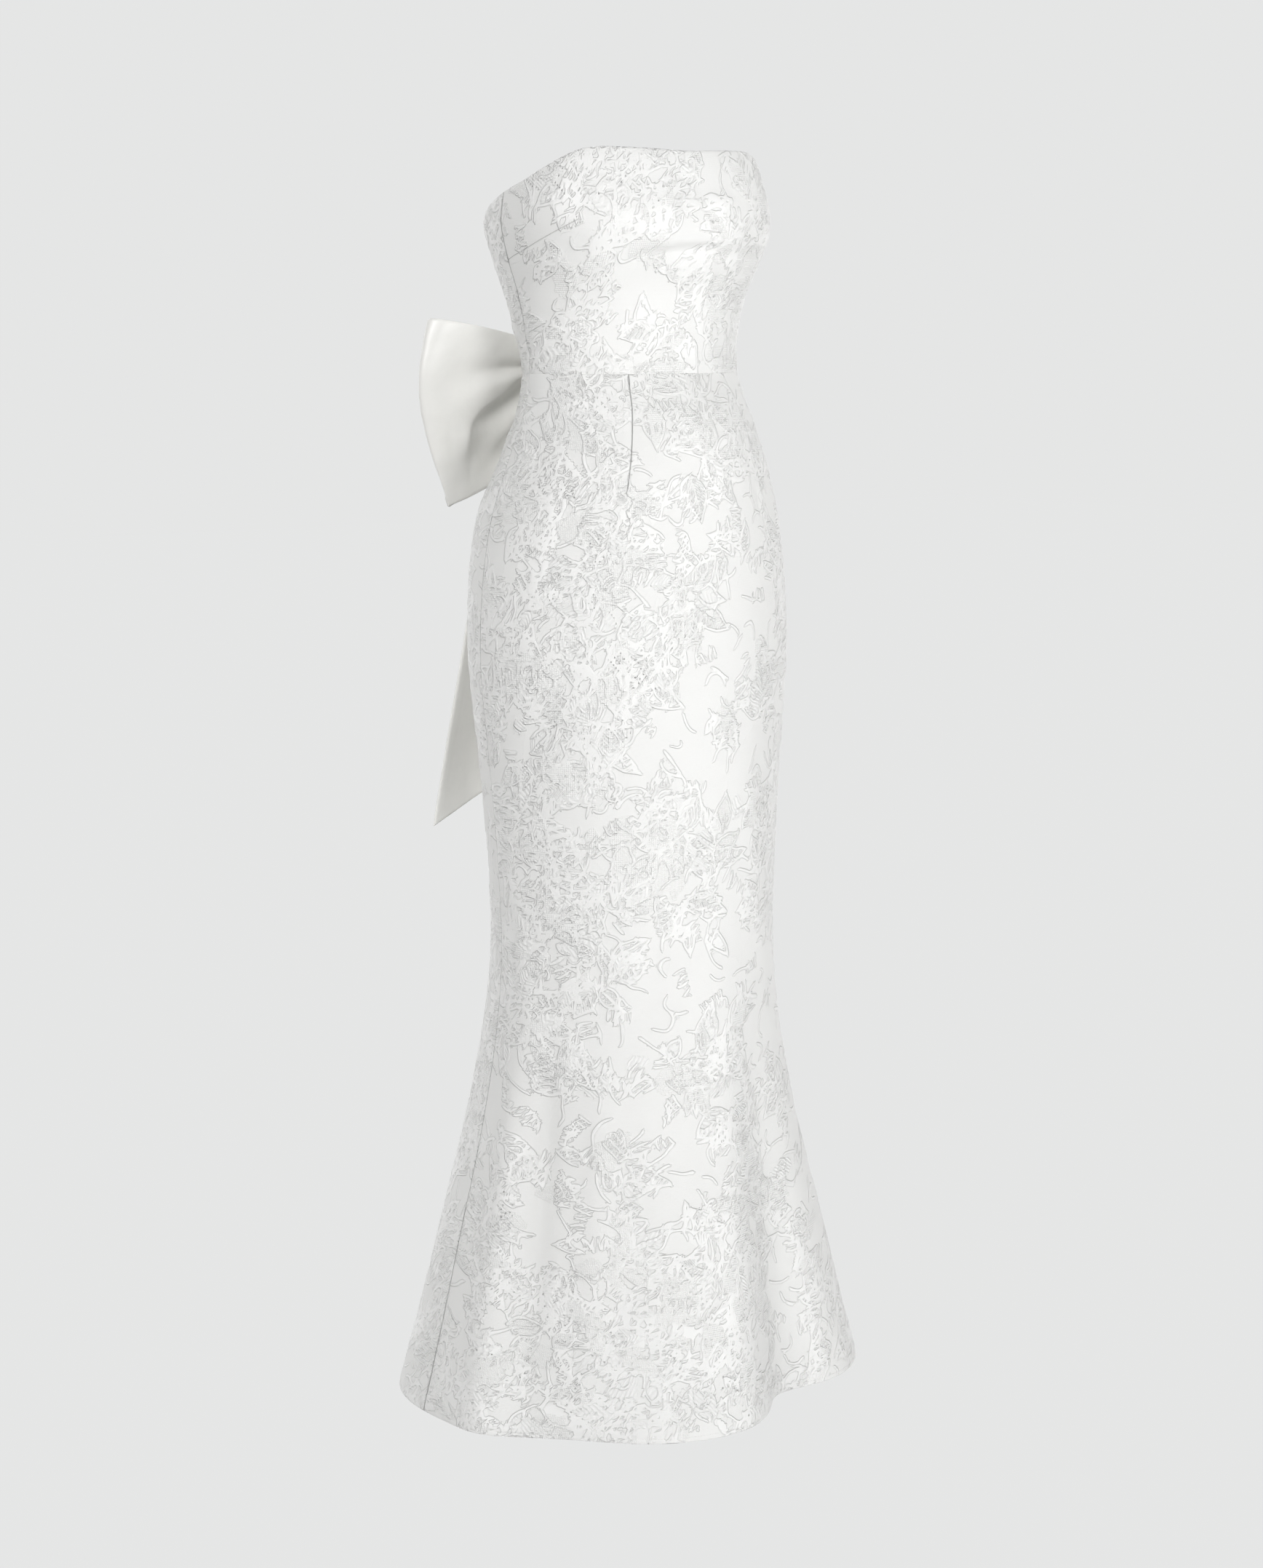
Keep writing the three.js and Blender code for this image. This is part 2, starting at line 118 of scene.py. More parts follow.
FLUTES = (
    Flute(-112, 20, 0.008),
    Flute(-74, 13, 0.006),
    Flute(-50, 16, -0.014),
    Flute(-16, 24, 0.010),
    Flute(22, 17, -0.046),
    Flute(70, 20, 0.016),
    Flute(116, 18, -0.020),
    Flute(150, 16, 0.012),
    Flute(180, 14, -0.016),
    Flute(-148, 17, -0.010),
)

# The neckline's height at angles from the centre front, the same on both sides.
NECKLINE = (
    (0, 0.222),
    (25, 0.224),
    (48, 0.222),
    (72, 0.204),
    (98, 0.181),
    (128, 0.158),
    (180, 0.144),
)

CLOTH = 0.0016
SEAM_GAP = 0.0003
SIDE_SEAM = 98
DART_ANGLE = 30
DART_LENGTH = 0.118
HEM_Z = SECTIONS[-1].z
KNEE_Z = -0.560
ZIP_END_Z = -0.190
ZIP_BELOW_NECK = 0.012


# The gown's form


def smooth_read(places, values, at):
    """Reads a table as a smooth curve through its rows. places rise."""
    places, values = np.asarray(places, float), np.asarray(values, float)
    slopes = np.empty_like(values)
    slopes[1:-1] = (values[2:] - values[:-2]) / (places[2:] - places[:-2])
    slopes[0] = (values[1] - values[0]) / (places[1] - places[0])
    slopes[-1] = (values[-1] - values[-2]) / (places[-1] - places[-2])
    i = np.clip(np.searchsorted(places, at, side="right") - 1, 0, len(places) - 2)
    span = places[i + 1] - places[i]
    t = np.clip((at - places[i]) / span, 0, 1)
    return (
        values[i] * (2 * t**3 - 3 * t**2 + 1)
        + values[i + 1] * (3 * t**2 - 2 * t**3)
        + slopes[i] * span * (t**3 - 2 * t**2 + t)
        + slopes[i + 1] * span * (t**3 - t**2)
    )


def section_read(field, z):
    rows = SECTIONS[::-1]
    return smooth_read([row.z for row in rows], [getattr(row, field) for row in rows], z)


def signed_power(value, exponent):
    return np.sign(value) * np.abs(value) ** exponent


def gown_points(angle, z):
    """Points of the gown's outer face, at angles from the centre front and heights."""
    turn = np.radians(angle)
    sine, cosine = np.sin(turn), np.cos(turn)
    front = cosine > 0
    depth = np.where(front, section_read("front", z), section_read("back", z))
    exponent = 2 / np.where(front, section_read("front_power", z), section_read("back_power", z))
    out = np.zeros_like(turn)
    for flute in FLUTES:
        apart = (angle - flute.angle + 180) % 360 - 180
        out = out + flute.depth * np.exp(-((apart / flute.width) ** 2))
    out = out * np.clip((KNEE_Z - z) / (KNEE_Z - HEM_Z), 0, 1) ** 1.5
    x = section_read("half_width", z) * signed_power(sine, exponent) + out * sine
    y = -depth * signed_power(cosine, exponent) - out * cosine
    return np.stack([x, y, z + 0 * x], axis=-1)


def neckline_z(angle):
    angles, heights = zip(*NECKLINE)
    return smooth_read(angles, heights, np.abs((angle + 180) % 360 - 180))


def centre_back(z):
    """How far back the gown's centre back stands at a height."""
    return float(gown_points(np.array(180.0), np.array(float(z)))[1])


# Patterns on the cloth's own plane


def lattice_noise(across, up, size, seed):
    """Smooth noise from 0 to 1 on the plane of the cloth, with lumps of the given size."""
    side = 256
    values = np.random.RandomState(seed).rand(side, side)
    x, y = across / size + 97.3, up / size + 61.7
    column, row = np.floor(x).astype(int), np.floor(y).astype(int)
    s, t = x - column, y - row
    s, t = s * s * (3 - 2 * s), t * t * (3 - 2 * t)
    low = values[row % side, column % side] * (1 - s) + values[row % side, (column + 1) % side] * s
    row = row + 1
    high = values[row % side, column % side] * (1 - s) + values[row % side, (column + 1) % side] * s
    return low * (1 - t) + high * t


def soft_step(low, high, value):
    t = np.clip((value - low) / (high - low), 0, 1)
    return t * t * (3 - 2 * t)


# How far a thread's value reaches, and how far the motifs' lines wander.
THREAD_REACH = 0.007
WOBBLE, WOBBLE_SIZE = 0.0042, 0.013

# The cloth is bare below this share of noise of this size.
BARE_BELOW, BARE_SIZE = 0.41, 0.052
BARE_RIBBONS, BARE_FINGERS = 0.45, 0.65
FLOWERS, PATCHES, FINGERS = 0.06, 0.30, 0.90
RULED_LEAVES, SATIN_LEAVES, LEAF_STEPS = 0.50, 0.82, 7
FINGER_APART = 0.0072


class Weave:
    """The raised pattern on one panel, as values at its points that change evenly.

    thread is 1 on a raised thread and 0 a reach away, and off_thread is how far to which side it
    is. petal, comb, vein and busy say where the cloth is smooth satin, honeycomb, ridged, or
    worked at all, and phase counts the ridges.
    """

    def __init__(self, across, up):
        self.shape = across.shape
        self.across, self.up = across.ravel(), up.ravel()
        self.x = self.across + WOBBLE * (lattice_noise(self.across, self.up, WOBBLE_SIZE, 3) - 0.5)
        self.y = self.up + WOBBLE * (lattice_noise(self.across, self.up, WOBBLE_SIZE, 4) - 0.5)
        for name in ("thread", "petal", "comb", "vein", "busy", "phase"):
            setattr(self, name, np.zeros(self.x.size))
        self.off_thread = np.ones(self.x.size)

    def grid(self, name):
        return getattr(self, name).reshape(self.shape)

    def near(self, x, y, reach):
        """The numbers of the points close to a place."""
        return np.flatnonzero((np.abs(self.x - x) < reach) & (np.abs(self.y - y) < reach))

    def draw(self, near, line, strength):
        """A raised thread along a line of points."""
        x, y = self.x[near], self.y[near]
        best, side = np.full(near.size, 1.0), np.ones(near.size)
        for (ax, ay), (bx, by) in zip(line[:-1], line[1:]):
            dx, dy = bx - ax, by - ay
            t = np.clip(((x - ax) * dx + (y - ay) * dy) / (dx * dx + dy * dy + 1e-12), 0, 1)
            gap = np.hypot(x - ax - t * dx, y - ay - t * dy)
            side = np.where(gap < best, np.where((x - ax) * dy < (y - ay) * dx, -gap, gap), side)
            best = np.minimum(best, gap)
        raised = strength * np.clip(1 - best / THREAD_REACH, 0, 1)
        over = raised > self.thread[near]
        self.thread[near[over]] = raised[over]
        self.off_thread[near[over]] = side[over] / THREAD_REACH

    def fill(self, near, name, inside):
        field = getattr(self, name)
        field[near] = np.maximum(field[near], inside)
        self.busy[near] = np.maximum(self.busy[near], inside)

    def rule(self, near, inside, phase):
        """Fine ridges, one to each whole number of phase, over what was there."""
        covered = inside > 0.3
        self.phase[near[covered]] = phase[covered]
        self.comb[near] = np.minimum(self.comb[near], 1 - inside)
        self.petal[near] = np.minimum(self.petal[near], 1 - inside)
        self.fill(near, "vein", inside)

    def steady(self):
        """0 where the ridges of two motifs meet and would be crushed together, 1 elsewhere."""
        phase, calm = self.grid("phase"), np.ones(self.shape)
        for axis in (0, 1):
            jump = np.abs(np.diff(phase, axis=axis)) > 1.35
            low, high = [slice(None)] * 2, [slice(None)] * 2
            low[axis], high[axis] = slice(0, -1), slice(1, None)
            for side in (tuple(low), tuple(high)):
                calm[side] = np.where(jump, 0, calm[side])
        return calm


def turned(points, x, y, angle, size=1.0):
    """Points of a motif, sized, turned and moved to a place on the cloth."""
    c, s = math.cos(angle) * size, math.sin(angle) * size
    return [(x + c * px - s * py, y + s * px + c * py) for px, py in points]


def inside_of(margin):
    """From 0 outside an edge to 1 inside it, for how far inside a point is."""
    return np.clip(0.5 + margin / 0.005, 0, 1)


def leaf_side(width, bend, sign):
    """One side of a leaf of length 1, from its stalk to its tip."""
    places = [i / LEAF_STEPS for i in range(LEAF_STEPS + 1)]
    return [(t, sign * width * math.sin(math.pi * t**0.8) + bend * t * t) for t in places]


def weave_leaf(weave, draw, x, y, angle, length):
    """A leaf: outline, midrib and slanting veins, or smooth inside."""
    near = weave.near(x, y, length * 1.25)
    if not near.size:
        return
    width, bend = draw.uniform(0.17, 0.27), draw.uniform(-0.25, 0.25)
    cosine, sine = math.cos(angle) / length, math.sin(angle) / length
    px = (weave.x[near] - x) * cosine + (weave.y[near] - y) * sine
    py = -(weave.x[near] - x) * sine + (weave.y[near] - y) * cosine - bend * px * px
    limit = width * np.sin(math.pi * np.clip(px, 0, 1) ** 0.8)
    inside = inside_of((limit - np.abs(py)) * length)
    kind = draw.random()
    if kind < RULED_LEAVES:
        pitch = draw.choice((0.0034, 0.0044, 0.0062))
        weave.rule(near, inside, (px - draw.uniform(0.7, 1.3) * np.abs(py)) * length / pitch)
    elif kind < SATIN_LEAVES:
        weave.fill(near, "petal", inside)
    else:
        weave.fill(near, "comb", inside)
    for sign in (-1, 1):
        side = leaf_side(width, bend, sign)[draw.randint(0, 2) :]
        weave.draw(near, turned(side, x, y, angle, length), draw.uniform(0.82, 1))
    if draw.random() < 0.6:
        rib = [(t / 5, bend * (t / 5) ** 2) for t in range(6)][: draw.randint(4, 6)]
        weave.draw(near, turned(rib, x, y, angle, length), draw.uniform(0.78, 0.92))


def weave_flower(weave, draw, x, y, radius):
    """A flower of five to seven petals, with veins running in, round a honeycomb heart."""
    near = weave.near(x, y, radius * 1.35)
    if not near.size:
        return
    petals, turn = draw.randint(5, 7), draw.uniform(0, math.tau)
    away = np.hypot(weave.x[near] - x, weave.y[near] - y) / radius
    round_ = np.arctan2(weave.y[near] - y, weave.x[near] - x) - turn
    edge = 0.70 + 0.30 * np.abs(np.cos(petals * round_ / 2)) ** 0.7
    inside = inside_of((edge - away) * radius)
    if draw.random() < 0.5:
        weave.fill(near, "petal", inside)
    else:
        swing = np.abs((round_ * petals / math.tau) % 1 - 0.5)
        weave.rule(near, inside, (away * radius - 0.006 * swing) / draw.choice((0.0036, 0.0050)))
    weave.fill(near, "comb", inside_of((0.30 - away) * radius))
    for petal in range(petals):
        start = turn + math.tau * petal / petals
        outline = []
        for i in range(9):
            swing = math.tau / petals * (i / 8 - 0.5)
            reach = 0.70 + 0.30 * abs(math.cos(petals * swing / 2)) ** 0.7
            outline.append((reach * math.cos(start + swing), reach * math.sin(start + swing)))
        outline = outline[draw.randint(0, 3) :]
        weave.draw(near, turned(outline, x, y, 0, radius), draw.uniform(0.8, 1))


def weave_patch(weave, draw, x, y, radius):
    """An uneven patch of fine hatching or honeycomb."""
    near = weave.near(x, y, radius * 1.6)
    if not near.size:
        return
    long, angle = draw.uniform(1.1, 1.6), draw.uniform(0, math.pi)
    dx, dy = weave.x[near] - x, weave.y[near] - y
    px = dx * math.cos(angle) + dy * math.sin(angle)
    py = dy * math.cos(angle) - dx * math.sin(angle)
    ragged = 0.45 * radius * (lattice_noise(weave.x[near], weave.y[near], radius * 0.35, 7) - 0.5)
    inside = inside_of(radius - np.hypot(px / long, py * long) + ragged)
    if draw.random() < 0.5:
        weave.fill(near, "comb", inside)
    else:
        lean = draw.choice((-1, 1)) * draw.uniform(0.55, 1.05)
        phase = dx * math.cos(lean) + dy * math.sin(lean)
        weave.rule(near, inside, phase / draw.choice((0.0032, 0.0038)))


def weave_fingers(weave, draw, x, y, length):
    """A fan of short bold ridges."""
    near = weave.near(x, y, length * 2.2)
    if not near.size:
        return
    heading, opening = draw.uniform(0, math.tau), draw.uniform(-0.25, 0.25)
    for i in range(draw.randint(3, 6)):
        angle = heading + opening * i
        px = x - math.sin(heading) * FINGER_APART * i
        py = y + math.cos(heading) * FINGER_APART * i
        reach = length * draw.uniform(0.6, 1.1)
        curl = draw.uniform(-0.3, 0.3)
        line = [(t / 4, curl * (t / 4) ** 2) for t in range(5)]
        weave.draw(near, turned(line, px, py, angle, reach), draw.uniform(0.80, 0.98))


def weave_ribbon(weave, draw, x, y, length):
    """A long curling thread."""
    near = weave.near(x, y, length * 1.2)
    if not near.size:
        return
    heading, curl = draw.uniform(0, math.tau), draw.uniform(-3.0, 3.0)
    line = [(0.0, 0.0)]
    for i in range(9):
        now = heading + curl * (i / 9) ** 1.5
        line.append((line[-1][0] + math.cos(now) / 9, line[-1][1] + math.sin(now) / 9))
    weave.draw(near, turned(line, x, y, 0, length), draw.uniform(0.78, 1))


def weave_pattern(weave, seed, low, high, spacing):
    """Clusters of leaves, flowers and hatching over the panel, with smooth ground between them."""
    draw = random.Random(seed)

    def beside(x, y, share):
        return tuple(at + draw.uniform(-share, share) * spacing for at in (x, y))

    columns = max(1, round((high[0] - low[0]) / spacing))
    rows = max(1, round((high[1] - low[1]) / spacing))
    for row in range(-1, rows + 1):
        for column in range(-1, columns + 1):
            x = low[0] + (column + 0.5 * (row % 2) + draw.uniform(0.1, 0.9)) * spacing
            y = low[1] + (row + draw.uniform(0.1, 0.9)) * spacing
            worked = float(lattice_noise(np.array(x), np.array(y), BARE_SIZE, seed + 9))
            kind, lean = draw.random(), draw.uniform(0, math.tau)
            if worked < BARE_BELOW:
                if kind < BARE_RIBBONS:
                    weave_ribbon(weave, draw, x, y, draw.uniform(0.014, 0.040))
                elif kind < BARE_FINGERS:
                    weave_fingers(weave, draw, x, y, draw.uniform(0.008, 0.016))
                continue
            if kind < FLOWERS:
                weave_flower(weave, draw, x, y, draw.uniform(0.016, 0.026))
            elif kind < PATCHES:
                weave_patch(weave, draw, x, y, draw.uniform(0.010, 0.021))
            else:
                for leaf in range(draw.randint(1, 3)):
                    angle = lean + leaf * draw.uniform(0.5, 1.2)
                    weave_leaf(weave, draw, x, y, angle, draw.uniform(0.022, 0.052))
            if draw.random() < FINGERS:
                weave_fingers(weave, draw, *beside(x, y, 0.5), draw.uniform(0.009, 0.022))
            for _ in range(draw.randint(1, 2)):
                weave_ribbon(weave, draw, *beside(x, y, 0.6), draw.uniform(0.012, 0.045))


# Cloth walls


def mesh_step(settings):
    return settings.grid * 1


def stations(length, step, close=(0.0004, 0.0011, 0.0022)):
    """Places from 0 to 1 across a panel, a step apart, with close ones at both turned edges."""
    count = 4 * max(3, round((length - 2 * close[-1]) / step / 4)) - 2 * len(close)
    inner = np.linspace(close[-1], length - close[-1], count + 1)
    ends = [length - place for place in reversed(close[:-1])]
    return np.array([0, *close[:-1], *inner, *ends, length]) / length


def with_neighbours(places, at, length, offsets=(0.0006, 0.0014)):
    """Moves the nearest stations onto a line across the panel and close beside it."""
    moved = places.copy()
    nearest = int(np.argmin(np.abs(places - at)))
    moved[nearest] = at
    for number, offset in enumerate(offsets, 1):
        moved[nearest - number] = at - offset / length
        moved[nearest + number] = at + offset / length
    return moved


def path_lengths(points, axis):
    steps = np.linalg.norm(np.diff(points, axis=axis), axis=-1)
    start = np.zeros_like(np.take(steps, [0], axis=axis))
    return np.concatenate([start, np.cumsum(steps, axis=axis)], axis=axis)


def outward(points):
    """The outward normals of a grid of points whose rows run up and columns run right."""
    across = np.gradient(points, axis=1)
    up = np.gradient(points, axis=0)
    normal = np.cross(across, up)
    return normal / np.linalg.norm(normal, axis=-1, keepdims=True)


def linked(name, data):
    """A new object in the scene, at the origin, that holds a mesh, curve, light or camera."""
    thing = bpy.data.objects.new(name, data)
    bpy.context.collection.objects.link(thing)
    return thing


def piece_from(bm, name):
    """Turns a finished bmesh into an object."""
    mesh = bpy.data.meshes.new(name)
    bm.to_mesh(mesh)
    bm.free()
    return linked(name, mesh)


def lay_cloth(bm, uv, flat):
    """Smooths the faces and writes each corner's place on the cloth."""
    for face in bm.faces:
        face.smooth = True
        for loop in face.loops:
            loop[uv].uv = flat[loop.vert]


def wall_mesh(name, outer, inner, plane, layers=None):
    """A closed wall from two grids of points, the inner one with only some of the outer stations.

    plane is the outer grid's places on the cloth, and layers are its attributes.
    """
    layers = layers or {}
    coarse = (outer.shape[0] - 1) // (inner.shape[0] - 1)
    bm = bmesh.new()
    uv = bm.loops.layers.uv.new("cloth")
    stores = {key: bm.verts.layers.float_color.new(key) for key in layers}
    flat = {}
    for points, step in ((outer, 1), (inner, coarse)):
        high, wide = points.shape[0] - 1, points.shape[1] - 1
        made = bmesh.ops.create_grid(bm, x_segments=wide, y_segments=high, size=0.5)["verts"]
        for vert in made:
            column, row = round((vert.co.x + 0.5) * wide), round((vert.co.y + 0.5) * high)
            vert.co = points[row, column]
            flat[vert] = plane[row * step, column * step]
            if step == 1:
                for key, store in stores.items():
                    vert[store] = layers[key][row, column]
    borders = [edge for edge in bm.edges if edge.is_boundary]
    bmesh.ops.bridge_loops(bm, edges=borders)
    bmesh.ops.recalc_face_normals(bm, faces=bm.faces)
    lay_cloth(bm, uv, flat)
    return piece_from(bm, name)


def cloth_piece(name, points, outer, inner, run, climb, layers=None):
    """A cloth wall, with its flat size and its area in square metres."""
    piece = wall_mesh(name, outer, inner, np.stack([run, climb], axis=-1), layers)
    flat = tuple(round(float(np.ptp(way, axis=axis).max()), 3) for way, axis in ((run, 1), (climb, 0)))
    corners = np.cross(np.diff(points, axis=1)[:-1], np.diff(points, axis=0)[:, :-1])
    return piece, flat, round(float(np.linalg.norm(corners, axis=-1).sum()), 4)


class Crease(NamedTuple):
    """A soft crease: where its middle is, how it leans, its size and how far it stands out."""

    angle: float
    z: float
    lean: float
    length: float
    width: float
    depth: float


BODICE_CREASES = (
    Crease(-96, 0.020, 12, 0.026, 0.005, -0.0012),
    Crease(-88, 0.034, -16, 0.030, 0.006, 0.0010),
    Crease(-70, 0.016, 8, 0.034, 0.006, -0.0009),
    Crease(-52, 0.030, -12, 0.040, 0.008, 0.0011),
    Crease(-20, 0.022, 6, 0.050, 0.007, -0.0009),
    Crease(14, 0.034, -7, 0.045, 0.008, 0.0009),
    Crease(46, 0.018, 11, 0.040, 0.007, -0.0010),
    Crease(82, 0.030, -10, 0.032, 0.006, 0.0011),
    Crease(0, 0.175, 90, 0.040, 0.020, -0.0026),
    Crease(-6, 0.1215, 9, 0.040, 0.0065, -0.0021),
    Crease(10, 0.1200, -7, 0.034, 0.0060, -0.0018),
    Crease(2, 0.1325, 3, 0.058, 0.0070, 0.0020),
    Crease(-24, 0.1120, 24, 0.018, 0.0055, -0.0022),
    Crease(32, 0.1160, -16, 0.024, 0.0060, -0.0022),
    Crease(118, 0.022, 14, 0.030, 0.006, -0.0012),
    Crease(140, 0.036, -9, 0.036, 0.007, 0.0011),
    Crease(158, 0.060, 18, 0.034, 0.007, -0.0010),
    Crease(220, 0.028, 8, 0.034, 0.007, -0.0012),
    Crease(242, 0.044, -14, 0.032, 0.006, 0.0010),
    Crease(204, 0.072, -20, 0.030, 0.007, -0.0010),
)
SKIRT_CREASES = (
    Crease(-94, -0.022, -14, 0.026, 0.006, -0.0013),
    Crease(-84, -0.044, 10, 0.030, 0.007, 0.0011),
    Crease(-66, -0.030, -9, 0.036, 0.007, -0.0010),
    Crease(-14, -0.028, 5, 0.050, 0.008, -0.0010),
    Crease(8, -0.060, -6, 0.046, 0.010, 0.0010),
    Crease(50, -0.034, 10, 0.036, 0.008, -0.0011),
    Crease(84, -0.050, -12, 0.030, 0.007, 0.0011),
    Crease(-30, -0.128, 84, 0.014, 0.004, -0.0013),
    Crease(-27, -0.140, 70, 0.012, 0.004, 0.0011),
    Crease(30, -0.129, 94, 0.014, 0.004, -0.0013),
    Crease(33, -0.142, 112, 0.012, 0.004, 0.0011),
    Crease(-60, -0.330, 62, 0.090, 0.020, -0.0020),
    Crease(40, -0.350, 112, 0.100, 0.022, -0.0020),
    Crease(-20, -0.560, 74, 0.110, 0.022, -0.0022),
    Crease(26, -0.520, 104, 0.120, 0.022, 0.0022),
    Crease(-80, -0.600, 98, 0.090, 0.018, 0.0020),
    Crease(70, -0.590, 80, 0.100, 0.020, -0.0022),
    Crease(-8, -0.820, 84, 0.150, 0.020, -0.0030),
    Crease(-79, -0.900, 92, 0.200, 0.020, 0.0065),
    Crease(-65, -0.890, 91, 0.190, 0.020, -0.0085),
    Crease(-46, -0.910, 88, 0.190, 0.026, 0.0055),
    Crease(118, -0.036, 12, 0.032, 0.007, -0.0012),
    Crease(150, -0.060, -8, 0.036, 0.008, 0.0012),
    Crease(214, -0.046, 9, 0.034, 0.008, -0.0012),
    Crease(246, -0.066, -13, 0.030, 0.007, 0.0010),
    Crease(150, -0.330, 96, 0.100, 0.022, -0.0024),
    Crease(206, -0.360, 82, 0.100, 0.022, -0.0024),
    Crease(164, -0.560, 100, 0.090, 0.020, 0.0022),
    Crease(226, -0.580, 78, 0.090, 0.020, -0.0022),
)


class Dart(NamedTuple):
    """A dart's stitched line, from its seam to its point, by angle and height."""

    from_angle: float
    from_z: float
    to_angle: float
    to_z: float
    strength: float = 1.0


BODICE_DARTS = (Dart(-97.5, 0.1135, -50, 0.1530, 0.5), Dart(97.5, 0.1135, 50, 0.1530, 0.5))

# The waist dart and the zigzag of puckers below its point. The left one is the plainer to see, with the
# deeper groove and the darker painted shade.
DART_POINT = 33.5
DART_PATH = (
    (DART_ANGLE, 0),
    (DART_POINT, -DART_LENGTH),
    (31.0, -0.127),
    (32.8, -0.137),
    (31.2, -0.147),
    (32.2, -0.157),
    (31.6, -0.166),
)
DART_STRENGTHS = (1.0, 0.75, 0.6, 0.7, 0.5, 0.4)
DART_SIDES = ((-1, 1), (1, 0.35))
SKIRT_DARTS = tuple(
    Dart(side * start[0], start[1], side * end[0], end[1], strength * share)
    for side, share in DART_SIDES
    for start, end, strength in zip(DART_PATH, DART_PATH[1:], DART_STRENGTHS)
)

# What the attributes count distances in, how far a dart reaches to its side, and its groove.
DART_UNIT, DART_REACH = 0.010, 0.008
DART_GROOVE, DART_GROOVE_HALF = 0.0007, 0.004

# How much of the round arc the oval has near the side seams and at the front darts.
SIDE_ARC, FRONT_ARC, SIDE_FROM = 0.93, 0.80, 60


def creased(angle, z, creases):
    """How far the creases move the cloth out."""
    out = np.zeros_like(z)
    for crease in creases:
        half = float(section_read("half_width", np.array(crease.z)))
        dx = np.radians((angle - crease.angle + 180) % 360 - 180) * half
        dz = z - crease.z
        cosine, sine = math.cos(math.radians(crease.lean)), math.sin(math.radians(crease.lean))
        along, aside = dx * cosine + dz * sine, dz * cosine - dx * sine
        out += crease.depth * np.exp(-((aside / crease.width) ** 2) - (along / crease.length) ** 4)
    return out


def dart_lines(angle, z, darts):
    """How far to the side of a dart's line each point is, and how near its stitching is."""
    aside, near = np.full_like(z, DART_UNIT), np.zeros_like(z)
    for dart in darts:
        arc = math.radians(SIDE_ARC if abs(dart.from_angle) > SIDE_FROM else FRONT_ARC)
        levels = (np.asarray(at) for at in (dart.from_z, dart.to_z, z))
        start, end, here = (section_read("half_width", level) for level in levels)
        dx, dz = (dart.to_angle * end - dart.from_angle * start) * arc, dart.to_z - dart.from_z
        length = math.hypot(dx, dz)
        px, pz = (angle * here - dart.from_angle * start) * arc, z - dart.from_z
        along = (px * dx + pz * dz) / length
        side = (pz * dx - px * dz) / length
        ends = min(0.006, 0.2 * length)
        close = soft_step(DART_REACH, 0.005, np.abs(side)) * soft_step(-0.003, -0.001, along)
        close = close * soft_step(length + 0.6 * ends, length - ends, along)
        aside = np.where((np.abs(side) < DART_REACH) & (close > 0.02), side, aside)
        near = np.maximum(near, close * dart.strength)
    return aside, near


# A turned edge is a sharp turn in a soft one: how deep each is, and how wide.
FREE_EDGE = ((0.00075, 0.0008), (0.00024, 0.0034))
WAIST_EDGE = ((0.00016, 0.0009), (0.00022, 0.0040))


def edge_turn(share, rise, width, height, skirt):
    """How far the cloth turns in at its edges, least at the pressed waist, and how far off they are."""
    sides = np.minimum(share, 1 - share) * width
    waist, free = (1 - rise, rise) if skirt else (rise, 1 - rise)
    away, at_waist = np.minimum(sides, free * height), waist * height
    turns = [
        sum(depth * np.exp(-((distance / reach) ** 2)) for depth, reach in edge)
        for edge, distance in ((FREE_EDGE, away), (WAIST_EDGE, at_waist))
    ]
    return np.maximum(*turns), away, at_waist, sides


def panel_form(skirt, low, high, share, rise):
    """A panel's angles, heights and outer points, at shares of the way across and up."""
    if skirt:
        z = HEM_Z * (1 - rise)
        half = section_read("half_width", z)
    else:
        z, half = np.zeros_like(rise), section_read("half_width", np.zeros_like(rise))
    gap = np.degrees(SEAM_GAP / 2 / half)
    angle = low + gap + (high - low - 2 * gap) * share
    if not skirt:
        z = neckline_z(angle) * rise
    return angle, z, gown_points(angle, z)


def ready(piece, body, finish, nodes=()):
    """Dresses a finished piece: gives it its material and its body, and hides the parts it stands for.
    """
    piece.data.materials.clear()
    piece.data.materials.append(finish)
    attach(piece, body)
    if nodes:
        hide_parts(*nodes)
    return piece


PUCKERS = (
    (
        ((0, 0), (0.006, -0.012), (0.001, -0.020), (0.007, -0.031), (0.002, -0.041), (0.006, -0.052)),
        0.92,
    ),
    (((-0.002, -0.026), (0.003, -0.036), (-0.001, -0.046)), 0.86),
)


def pucker_chain(weave, angle, z):
    """The little zigzag puckers under the points of the two front darts."""
    for sign in (-1, 1):
        spot = int(np.argmin(np.abs(angle - sign * DART_POINT) + 2000 * np.abs(z + DART_LENGTH)))
        x, y = weave.x[spot], weave.y[spot]
        for line, strength in PUCKERS:
            weave.draw(weave.near(x, y, 0.080), [(x + px, y + py) for px, py in line], strength)


# A panel's greatest radius and height, from which its stations are counted.
SKIRT_RADIUS, BODICE_RADIUS, BODICE_HEIGHT = 0.205, 0.122, 0.19
WAIST_ARC = 0.36

# How deep the hem's stitching pulls in, and how wide its groove is.
HEM_GROOVE, HEM_GROOVE_HALF = 0.00035, 0.0008


